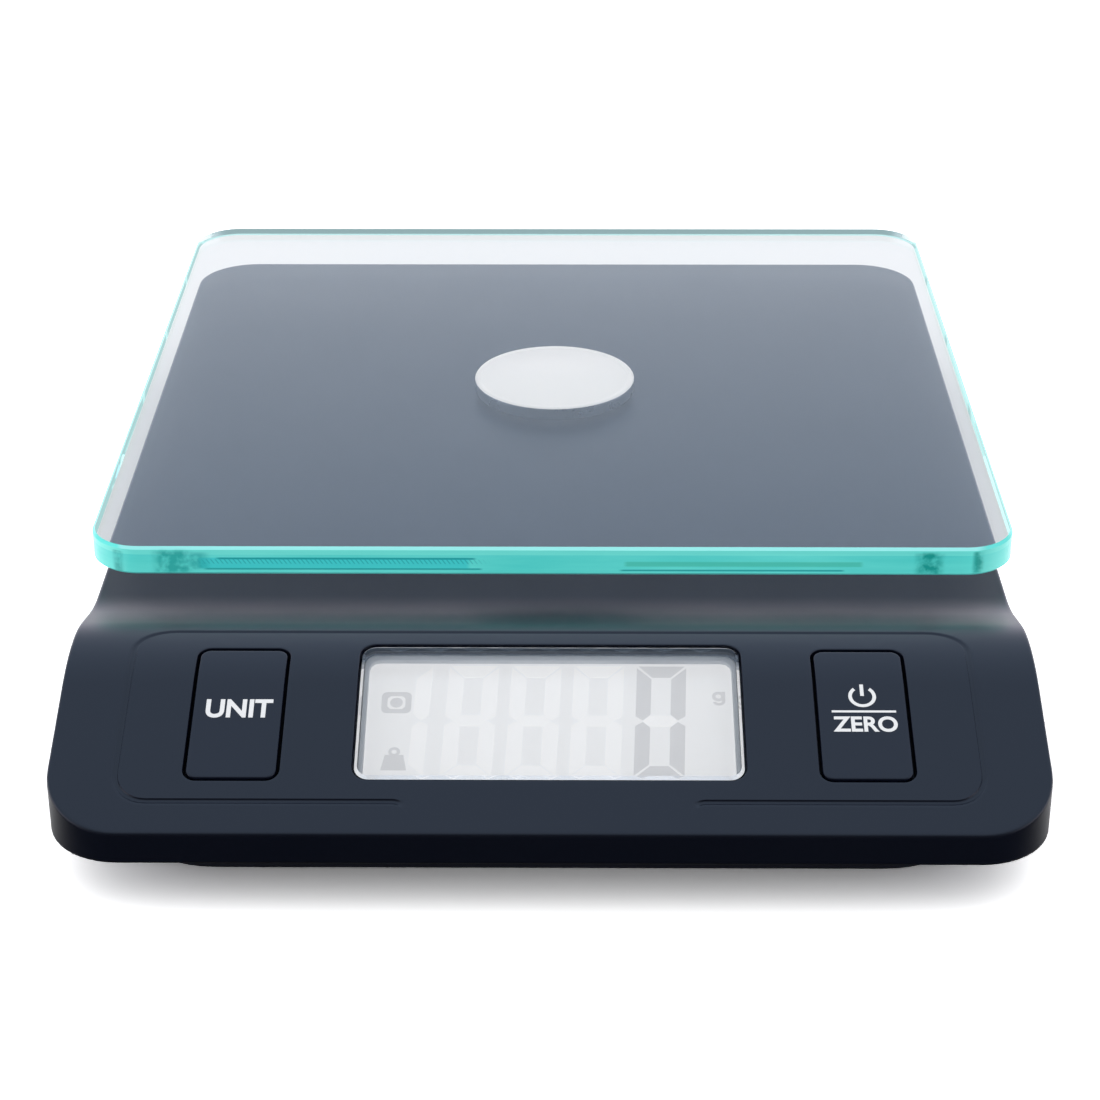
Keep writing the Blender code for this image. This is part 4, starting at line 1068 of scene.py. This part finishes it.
def key_cap(name, side, body, node):
    """Key cap on the left (-1) or the right (1), with a lip that keeps it under the panel."""
    bm = bmesh.new()
    path = grown_path(shifted(KEY, side * KEY_U), KEY_CORNER, 0.0)
    rings = [panel_ring(path, -KEY_ROUND - EASE, drop=0.0)]
    rings += [panel_ring(path, -inset, drop=drop) for inset, drop in rounded_over(KEY_ROUND)]
    rings += [panel_ring(path, 0, drop=KEY_ROUND + EASE), panel_ring(path, 0, w=KEY_LIP_TOP),
              panel_ring(path, KEY_LIP, w=KEY_LIP_TOP), panel_ring(path, KEY_LIP, w=KEY_LIP_BOTTOM)]
    loops = add_rings(bm, rings)
    band(bm, loops)
    sheet_faces(bm, loops[0], [], [], skin_rows(bm, loops[0], 0.0, 2.5))
    bm.faces.new(loops[-1])
    cap = piece_from(name, bm, key_plastic, sharp=50)
    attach(cap, body)
    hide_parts(node)
    return cap


def print_on_key(piece, body):
    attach(piece, body)


key_cap("unit_key_cap", -1, "unit_button", "unit_key")
key_cap("zero_key_cap", 1, "zero_button", "zero_key")
print_on_key(lettering("unit_legend", "UNIT", 3.6, 10.1, (-46.9, -0.15), PRINT_LIFT, pad_print, 0.030),
             "unit_button")
print_on_key(lettering("zero_legend", "ZERO", 3.0, 9.7, (47.4, -2.9), PRINT_LIFT, pad_print, 0.027),
             "zero_button")


def surface_print(name, shapes, spot, mat):
    """Thin print that follows the curved panel surface."""
    bm = bmesh.new()
    for shape in shapes:
        rings = [[panel_surface(x + spot[0], y + spot[1], -lift) for x, y in shape]
                 for lift in (PRINT_LIFT, PRINT_LIFT + PRINT_THICK)]
        loops = add_rings(bm, rings)
        band(bm, loops)
        bm.faces.new(list(reversed(loops[0])))
        bm.faces.new(loops[1])
    return piece_from(name, bm, mat)


POWER_RADIUS = 2.1
POWER_STROKE = 0.55
POWER_GAP = 38
power_tiles = []
for k in range(30):
    tile = []
    for step, r in ((k, POWER_RADIUS), (k + 1, POWER_RADIUS), (k + 1, POWER_RADIUS - POWER_STROKE),
                    (k, POWER_RADIUS - POWER_STROKE)):
        angle = math.radians(90 + POWER_GAP + (360 - 2 * POWER_GAP) * step / 30)
        tile.append((r * math.cos(angle), r * math.sin(angle)))
    power_tiles.append(tile)
power_tiles.append([(-0.28, 0.1), (0.28, 0.1), (0.28, 2.35), (-0.28, 2.35)])
print_on_key(surface_print("power_mark", power_tiles, (47.3, 2.5), pad_print), "zero_button")
print_on_key(surface_print("legend_rule", [[(-4.85, -0.2), (4.85, -0.2), (4.85, 0.2), (-4.85, 0.2)]],
                           (47.35, -0.45), pad_print), "zero_button")


# ---------------------------------------------------------------- platform hub and disc
# The hub is a turned black plastic collar that comes up through the deck. On it sits a satin
# aluminium disc, bonded to the underside of the glass, which passes the load down. Its top is
# painted near white and glows, painted light; its rim is a darker blue-grey copy, painted shade.

HUB_PROFILE = ((0, 16.4), (11.6, 16.4), (12.0, 16.8), (12.0, 22.0), (11.85, 22.4), (11.4, 22.6),
               (6.4, 22.6), (6.3, 22.5), (6.3, 19.0), (6.2, 18.7), (0, 18.7))
DISC_PROFILE = ((0, 24.64), (13.6, 24.64), (13.75, 24.56), (13.95, 24.56), (14.1, 24.68),
                (14.45, 24.7), (14.8, 24.6), (14.97, 24.38), (15.0, 24.1), (15.0, 22.6),
                (14.93, 22.35), (14.75, 22.22), (14.5, 22.2), (12.7, 22.2), (12.6, 22.3),
                (12.6, 22.9), (6.0, 22.9), (6.0, 19.3), (5.7, 19.0), (0, 19.0))


def turned(name, profile, center, mat, sides=96, sharp=30):
    """Turn a closed profile of (radius, z), both ends on the axis."""
    bm = bmesh.new()
    loops = []
    for radius, z in profile[1:-1]:
        loops.append([bm.verts.new((center[0] + radius * math.cos(2 * math.pi * i / sides),
                                    center[1] + radius * math.sin(2 * math.pi * i / sides), z))
                      for i in range(sides)])
    band(bm, loops)
    for (radius, z), loop in ((profile[0], loops[0]), (profile[-1], loops[-1])):
        tip = bm.verts.new((center[0], center[1], z))
        for i in range(sides):
            bm.faces.new((loop[i], loop[(i + 1) % sides], tip))
    return piece_from(name, bm, mat, sharp)


hub_plastic = mixed_finish("hub_plastic", (0.006, 0.009, 0.016), (0.009, 0.013, 0.022), 4.0, (0.35, 0.45),
                           (0.3, 0.004))
hub = turned("hub_collar", HUB_PROFILE, HUB_CENTER, hub_plastic)
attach(hub, "platform")
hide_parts("platform_hub")

disc_top_painted_light = mixed_finish("disc_top_painted_light", (0.90, 0.90, 0.89), (0.95, 0.95, 0.94), 3.0, (0.30, 0.40),
                          (0.2, 0.002),
                          metallic=0.05)
# The disc's top glows by emission: a painted glow.
disc_glow = disc_top_painted_light.node_tree.nodes["Principled BSDF"]
disc_glow.inputs["Emission Color"].default_value = (1.0, 0.99, 0.97, 1.0)
disc_glow.inputs["Emission Strength"].default_value = 0.34
# The rim: a darker copy of the disc's metal, painted shade.
disc_side_painted_shade = mixed_finish("disc_side_painted_shade", (0.29, 0.34, 0.40), (0.35, 0.40, 0.46), 3.0, (0.25, 0.35),
                         (0.2, 0.002),
                         metallic=1.0)
disc = turned("platform_pad", DISC_PROFILE, HUB_CENTER, disc_side_painted_shade, sharp=40)
disc.data.materials.append(disc_top_painted_light)
for face in disc.data.polygons:
    if face.normal.z > 0.5:
        face.material_index = 1
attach(disc, "platform")
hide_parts("platform_disc")


# ---------------------------------------------------------------- glass platform
# A square of 5 mm tempered glass with round corners. Its edges are ground to a small bevel
# and polished. Their green-blue is a painted glow, by emission, with painted reflection streaks,
# bevel highlights and painted shade laid over it; seen from inside, the edge is clear glass.

GLASS_WIDTH = 152.0
GLASS_DEPTH = 152.5
GLASS_CORNER = 8.5
GLASS_BEVEL = 0.45
GLASS_THICK = 5.0
glass_low, glass_high = (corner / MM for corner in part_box("glass_platform"))

clear_glass = see_through("clear_glass", (0.958, 0.945, 0.928), 1.5)

# Painted light on the outside of the edge: reflection streaks, the top bevel's highlight, and painted shade
# on the right side and the bottom bevel.
EDGE_PAINTED_LIGHTS = (               # x from, x to, z from, z to, softness (mm), share, colour
    (-57.0, -14.0, 26.35, 27.95, 0.35, 0.80, (0.040, 0.53, 0.55)),
    (-54.0, -13.0, 27.90, 28.10, 0.12, 0.85, (0.010, 0.27, 0.29)),
    (-56.0, -12.0, 26.02, 26.20, 0.12, 0.80, (0.010, 0.27, 0.29)),
    (12.5, 50.0, 26.80, 27.35, 0.30, 0.60, (0.050, 0.42, 0.31)),
    (11.8, 47.0, 25.86, 26.02, 0.12, 0.85, (0.010, 0.27, 0.29)),
    (-200.0, 200.0, 28.75, 29.5, 0.15, 0.45, (0.20, 0.76, 0.68)),
    (-70.0, 70.0, 29.58, 30.5, 0.06, 0.70, (0.30, 0.66, 0.66)),
    (70.4, 200.0, 24.0, 31.0, 0.60, 0.50, (0.09, 0.50, 0.46)),
    (-200.0, 200.0, 24.0, 25.42, 0.06, 0.70, (0.10, 0.52, 0.50)))
EDGE_PAINTED_SHADES = (                # the same for the painted shade blotches near the corners
    (-63.2, -60.4, 25.9, 28.9, 1.0, 0.80, (0.012, 0.30, 0.28)),
    (-58.8, -57.4, 26.4, 28.6, 0.9, 0.60, (0.012, 0.30, 0.30)),
    (60.6, 62.4, 25.7, 28.8, 0.8, 0.95, (0.008, 0.27, 0.24)),
    (69.2, 69.7, 25.7, 29.2, 0.35, 0.95, (0.008, 0.27, 0.24)),
    (-71.0, -70.6, 25.5, 29.0, 0.25, 0.80, (0.015, 0.32, 0.30)))
# A fine dark hatching inside the left streak, also a painted reflection.
REFLECTION_HATCH_PITCH = 0.74
REFLECTION_HATCH_PLACE = (-55.0, -14.5, 27.15, 27.75)


def soft_window(tree, value, low, high, soft):
    """1 between low and high (mm), falling to 0 within soft on either side."""
    parts = []
    for start, end in ((low - soft, low), (high + soft, high)):
        step = add_node(tree, "ShaderNodeMapRange", {"From Min": min(start, end) * MM,
                        "From Max": max(start, end) * MM}, interpolation_type="SMOOTHSTEP")
        if start > end:
            step.inputs["To Min"].default_value = 1.0
            step.inputs["To Max"].default_value = 0.0
        tree.links.new(value, step.inputs["Value"])
        parts.append(step.outputs["Result"])
    return product(tree, *parts)


def product(tree, one, two):
    node = add_node(tree, "ShaderNodeMath", operation="MULTIPLY")
    for socket, part in zip(node.inputs, (one, two)):
        if isinstance(part, float):
            socket.default_value = part
        else:
            tree.links.new(part, socket)
    return node.outputs[0]


edge_glass_painted_light = bpy.data.materials.new("edge_glass_painted_light")
edge_glass_painted_light.use_nodes = True
edge_paint = edge_glass_painted_light.node_tree
edge_shader = edge_paint.nodes["Principled BSDF"]
edge_place = edge_paint.nodes.new("ShaderNodeTexCoord")
edge_axes = add_node(edge_paint, "ShaderNodeSeparateXYZ", {"Vector": edge_place.outputs["Object"]})
edge_x, edge_z = edge_axes.outputs["X"], edge_axes.outputs["Z"]
edge_stretch = add_node(edge_paint, "ShaderNodeMapping", {"Scale": (1.0, 1.0, 9.0),
                        "Vector": edge_place.outputs["Object"]})
edge_waves = add_node(edge_paint, "ShaderNodeTexNoise", {"Scale": 55.0, "Detail": 3.0,
                      "Vector": edge_stretch.outputs["Vector"]})
edge_colour = add_node(edge_paint, "ShaderNodeMix", {"A": (0.060, 0.56, 0.53, 1.0),
                       "B": (0.150, 0.72, 0.66, 1.0), "Factor": edge_waves.outputs["Fac"]},
                       data_type="RGBA")
edge_so_far = edge_colour.outputs["Result"]


def over_edge(colour, share):
    """Lay one more colour over the edge, as strong as the share socket says."""
    layer = add_node(edge_paint, "ShaderNodeMix", {"Factor": share, "A": edge_so_far, "B": (*colour, 1.0)},
                     data_type="RGBA")
    return layer.outputs["Result"]


edge_ripple = add_node(edge_paint, "ShaderNodeTexNoise", {"Scale": 620.0, "Detail": 3.0,
                       "Vector": edge_place.outputs["Object"]})
edge_broken = add_node(edge_paint, "ShaderNodeMapRange", {"From Min": 0.35, "From Max": 0.58,
                       "To Min": 0.25, "Value": edge_ripple.outputs["Fac"]})
for mark in EDGE_PAINTED_LIGHTS + EDGE_PAINTED_SHADES:
    x_from, x_to, z_from, z_to, soft, share, colour = mark
    along = soft_window(edge_paint, edge_x, x_from, x_to, max(soft, 0.4) * 2.5)
    across = soft_window(edge_paint, edge_z, z_from, z_to, soft)
    share = product(edge_paint, product(edge_paint, along, across), share)
    if mark in EDGE_PAINTED_SHADES:
        share = product(edge_paint, share, edge_broken.outputs["Result"])
    edge_so_far = over_edge(colour, share)
hatch_slope = add_node(edge_paint, "ShaderNodeMath", {0: edge_z, 1: 0.7, 2: edge_x},
                       operation="MULTIPLY_ADD")
hatch_wave = add_node(edge_paint, "ShaderNodeMath",
                      {0: times(edge_paint, hatch_slope.outputs[0], 2 * math.pi / (REFLECTION_HATCH_PITCH * MM))},
                      operation="SINE")
hatch_lines = add_node(edge_paint, "ShaderNodeMapRange", {"From Min": 0.2, "From Max": 1.0,
                       "Value": hatch_wave.outputs[0]})
hatch_area = product(edge_paint, soft_window(edge_paint, edge_x, REFLECTION_HATCH_PLACE[0], REFLECTION_HATCH_PLACE[1], 5.0),
                     soft_window(edge_paint, edge_z, REFLECTION_HATCH_PLACE[2], REFLECTION_HATCH_PLACE[3], 0.2))
reflection_hatch_share = product(edge_paint, product(edge_paint, hatch_lines.outputs["Result"], hatch_area), 0.55)
edge_so_far = over_edge((0.012, 0.26, 0.29), reflection_hatch_share)

# From inside (backfacing) the edge turns clear glass with a pale painted glow; from outside it is opaque
# teal with a painted glow, stronger at the front than at the back.
edge_side = edge_paint.nodes.new("ShaderNodeNewGeometry")
edge_from_inside = edge_side.outputs["Backfacing"]
edge_paint.links.new(over_edge((0.15, 0.42, 0.40), edge_from_inside), edge_shader.inputs["Base Color"])
edge_paint.links.new(over_edge((0.55, 0.95, 0.92), edge_from_inside), edge_shader.inputs["Emission Color"])
edge_front_glow = add_node(edge_paint, "ShaderNodeMapRange", {"From Min": -0.045, "From Max": -0.025,
                      "To Min": 0.38, "To Max": 0.08, "Value": edge_axes.outputs["Y"]})
edge_glow = add_node(edge_paint, "ShaderNodeMix", {"Factor": edge_from_inside,
                     "A": edge_front_glow.outputs["Result"], "B": 0.35}, data_type="FLOAT")
edge_paint.links.new(edge_glow.outputs["Result"], edge_shader.inputs["Emission Strength"])
edge_gloss = add_node(edge_paint, "ShaderNodeMapRange", {"To Min": 0.12, "To Max": 0.0,
                      "Value": edge_from_inside})
edge_paint.links.new(edge_gloss.outputs["Result"], edge_shader.inputs["Roughness"])
edge_paint.links.new(edge_from_inside, edge_shader.inputs["Transmission Weight"])
edge_shader.inputs["IOR"].default_value = 1.5

glass_tree, glass_in, glass_out = new_tree("bevelled_plate", (
    ("Width", "Float", GLASS_WIDTH * MM), ("Depth", "Float", GLASS_DEPTH * MM),
    ("Corner radius", "Float", GLASS_CORNER * MM), ("Thickness", "Float", GLASS_THICK * MM),
    ("Bevel", "Float", GLASS_BEVEL * MM), ("Material", "Material", None), ("Edge material", "Material",
                                                                           None)))


def plate_outline(tree, source, bevels):
    """Rounded rectangle, drawn in by a number of bevels."""
    def less(label, count):
        node = add_node(tree, "ShaderNodeMath", {0: source.outputs["Bevel"], 1: -count,
                        2: source.outputs[label]}, operation="MULTIPLY_ADD")
        return node.outputs[0]
    frame_curve = add_node(tree, "GeometryNodeCurvePrimitiveQuadrilateral",
                           {"Width": less("Width", 2 * bevels), "Height": less("Depth", 2 * bevels)})
    corner = tree.nodes.new("GeometryNodeFilletCurve")
    if hasattr(corner, "mode"):
        corner.mode = "POLY"
    corner.inputs["Count"].default_value = 15
    tree.links.new(frame_curve.outputs["Curve"], corner.inputs["Curve"])
    tree.links.new(less("Corner radius", bevels), corner.inputs["Radius"])
    return corner.outputs["Curve"]


def lifted(tree, shape, height):
    """Shape moved up by a socket's value."""
    lift = add_node(tree, "ShaderNodeCombineXYZ", {"Z": height})
    place = add_node(tree, "GeometryNodeTransform", {"Geometry": shape,
                     "Translation": lift.outputs["Vector"]})
    return place.outputs["Geometry"]


def half_less_bevel(tree, source):
    node = add_node(tree, "ShaderNodeMath", {0: times(tree, source.outputs["Thickness"], 0.5),
                    1: source.outputs["Bevel"]}, operation="SUBTRACT")
    return node.outputs[0]


plate_join = glass_tree.nodes.new("GeometryNodeJoinGeometry")
for sign in (-1, 1):
    face = glass_tree.nodes.new("GeometryNodeFillCurve")
    if hasattr(face, "mode"):
        face.mode = "NGONS"
    glass_tree.links.new(plate_outline(glass_tree, glass_in, 1), face.inputs["Curve"])
    height = times(glass_tree, glass_in.outputs["Thickness"], 0.5 * sign)
    glass_tree.links.new(lifted(glass_tree, face.outputs["Mesh"], height), plate_join.inputs["Geometry"])
plate_paint = add_node(glass_tree, "GeometryNodeSetMaterial", {"Geometry": plate_join.outputs["Geometry"],
                       "Material": glass_in.outputs["Material"]})
rim_points = add_node(glass_tree, "GeometryNodeCurvePrimitiveQuadrilateral", mode="POINTS")
rim_half = half_less_bevel(glass_tree, glass_in)
for label, inward, height in (("Point 1", True, times(glass_tree, glass_in.outputs["Thickness"], -0.5)),
                              ("Point 2", False, times(glass_tree, rim_half, -1.0)),
                              ("Point 3", False, rim_half),
                              ("Point 4", True, times(glass_tree, glass_in.outputs["Thickness"], 0.5))):
    corner_point = glass_tree.nodes.new("ShaderNodeCombineXYZ")
    if inward:
        glass_tree.links.new(times(glass_tree, glass_in.outputs["Bevel"], -1.0), corner_point.inputs["X"])
    glass_tree.links.new(height, corner_point.inputs["Y"])
    glass_tree.links.new(corner_point.outputs["Vector"], rim_points.inputs[label])
rim_open = add_node(glass_tree, "GeometryNodeSetSplineCyclic", {"Cyclic": False,
                    "Geometry": rim_points.outputs["Curve"]})
rim = add_node(glass_tree, "GeometryNodeCurveToMesh", {"Curve": plate_outline(glass_tree, glass_in, 0)})
glass_tree.links.new(rim_open.outputs["Geometry"], rim.inputs["Profile Curve"])
rim_paint = add_node(glass_tree, "GeometryNodeSetMaterial", {"Geometry": rim.outputs["Mesh"],
                     "Material": glass_in.outputs["Edge material"]})
plate_all = glass_tree.nodes.new("GeometryNodeJoinGeometry")
glass_tree.links.new(rim_paint.outputs["Geometry"], plate_all.inputs["Geometry"])
glass_tree.links.new(plate_paint.outputs["Geometry"], plate_all.inputs["Geometry"])
plate_place = add_node(glass_tree, "GeometryNodeTransform",
                       {"Translation": ((glass_low + glass_high) / 2) * MM,
                       "Geometry": plate_all.outputs["Geometry"]})
plate_real = add_node(glass_tree, "GeometryNodeRealizeInstances",
                      {"Geometry": plate_place.outputs["Geometry"]})
glass_tree.links.new(plate_real.outputs["Geometry"], glass_out.inputs["Geometry"])
glass = made_by(glass_tree, "glass_plate", {"Material": clear_glass, "Edge material": edge_glass_painted_light},
                merge=0.06)
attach(glass, "platform")
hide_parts("glass_platform")


# ---------------------------------------------------------------- studio
# A seamless floor, pale where the camera sees it. To reflections and bounced light it is painted
# dark in front of the scale, painted shade on the case's front. White light from behind and above,
# and a long lens looking down at the control panel.

floor_mesh = bpy.data.meshes.new("studio_floor")
floor_mesh.from_pydata([(-8, -8, 0), (8, -8, 0), (8, 8, 0), (-8, 8, 0)], [], [(0, 1, 2, 3)])
floor = bpy.data.objects.new("studio_floor", floor_mesh)
bpy.context.scene.collection.objects.link(floor)
floor_paint = bpy.data.materials.new("floor_paint")
floor_paint.use_nodes = True
floor_tree = floor_paint.node_tree
floor_nodes = floor_tree.nodes
floor_nodes.remove(floor_nodes["Principled BSDF"])
floor_shader = floor_nodes.new("ShaderNodeBsdfDiffuse")
floor_tree.links.new(floor_shader.outputs["BSDF"], floor_nodes["Material Output"].inputs["Surface"])
floor_place = floor_nodes.new("ShaderNodeTexCoord")
floor_axes = add_node(floor_tree, "ShaderNodeSeparateXYZ",
                      {"Vector": floor_place.outputs["Object"]})
# Dark in front for reflected and bounced rays: painted shade for the case's front and lip.
floor_painted_shade = add_node(floor_tree, "ShaderNodeMapRange", {"From Min": -0.115, "From Max": -0.05,
                       "To Min": 0.03, "To Max": 1.5, "Value": floor_axes.outputs["Y"]},
                       interpolation_type="SMOOTHSTEP")
floor_rays = floor_nodes.new("ShaderNodeLightPath")
floor_through = add_node(floor_tree, "ShaderNodeMix",
                         {"Factor": floor_rays.outputs["Is Transmission Ray"],
                         "A": floor_painted_shade.outputs["Result"], "B": 0.94}, data_type="FLOAT")
floor_mix = add_node(floor_tree, "ShaderNodeMix", {"Factor": floor_rays.outputs["Is Camera Ray"],
                     "A": floor_through.outputs["Result"], "B": 1.95}, data_type="FLOAT")
floor_tone = floor_nodes.new("ShaderNodeCombineColor")
for channel in ("Red", "Green", "Blue"):
    floor_tree.links.new(floor_mix.outputs["Result"], floor_tone.inputs[channel])
floor_tree.links.new(floor_tone.outputs["Color"], floor_shader.inputs["Color"])
floor_mesh.materials.append(floor_paint)

SKY_COLOURS = ((0.0, (2.0, 1.88, 2.30)), (0.17, (1.65, 1.60, 1.92)), (0.29, (0.98, 1.03, 1.18)),
               (0.345, (0.76, 0.88, 1.05)), (0.46, (0.55, 0.71, 0.94)),
               (0.90, (0.62, 0.79, 1.03)), (1.0, (0.58, 0.74, 0.96)))
world = bpy.data.worlds.new("studio_light")
bpy.context.scene.world = world
world.use_nodes = True
sky_tree = world.node_tree
sky_nodes = sky_tree.nodes
sky = sky_nodes["Background"]
sky_place = sky_nodes.new("ShaderNodeTexCoord")
sky_axes = add_node(sky_tree, "ShaderNodeSeparateXYZ", {"Vector": sky_place.outputs["Generated"]})
sky_height = sky_nodes.new("ShaderNodeValToRGB")
while len(sky_height.color_ramp.elements) < len(SKY_COLOURS):
    sky_height.color_ramp.elements.new(0.5)
for stop, (height, colour) in zip(sky_height.color_ramp.elements, SKY_COLOURS):
    stop.position = height
    stop.color = (*colour, 1.0)
sky_tree.links.new(sky_axes.outputs["Z"], sky_height.inputs["Fac"])
sky_depth = add_node(sky_tree, "ShaderNodeMapRange", {"From Min": -0.85, "From Max": -0.25,
                     "To Min": 0.015, "To Max": 1.0, "Value": sky_axes.outputs["Y"]},
                     interpolation_type="SMOOTHSTEP")
sky_shaded = add_node(sky_tree, "ShaderNodeVectorMath", {0: sky_height.outputs["Color"],
                      "Scale": sky_depth.outputs["Result"]}, operation="SCALE")
sky_rays = sky_nodes.new("ShaderNodeLightPath")
sky_even = add_node(sky_tree, "ShaderNodeMix", data_type="RGBA")
sky_soft = add_node(sky_tree, "ShaderNodeMath", {1: 0.5, 0: sky_rays.outputs["Diffuse Depth"]},
                    operation="GREATER_THAN")
sky_tree.links.new(sky_soft.outputs["Value"], sky_even.inputs["Factor"])
sky_tree.links.new(sky_shaded.outputs["Vector"], sky_even.inputs["A"])
sky_even.inputs["B"].default_value = (1.08, 1.08, 1.08, 1.0)
sky_mix = add_node(sky_tree, "ShaderNodeMix", {"Factor": sky_rays.outputs["Is Camera Ray"],
                   "A": sky_even.outputs["Result"], "B": (1.0, 1.0, 1.0, 1.0)}, data_type="RGBA")
sky_tree.links.new(sky_mix.outputs["Result"], sky.inputs["Color"])

camera_data = bpy.data.cameras.new("camera")
camera_data.lens = 86.262
camera_data.sensor_width = 36.0
camera_data.clip_end = 20.0
camera = bpy.data.objects.new("camera", camera_data)
camera.location = (0.003218, -0.428644, 0.222154)
camera.rotation_euler = Euler((math.radians(63.281), math.radians(0.114), math.radians(0.462)), "XYZ")
bpy.context.scene.collection.objects.link(camera)
bpy.context.scene.camera = camera
bpy.context.scene.view_settings.view_transform = "Standard"
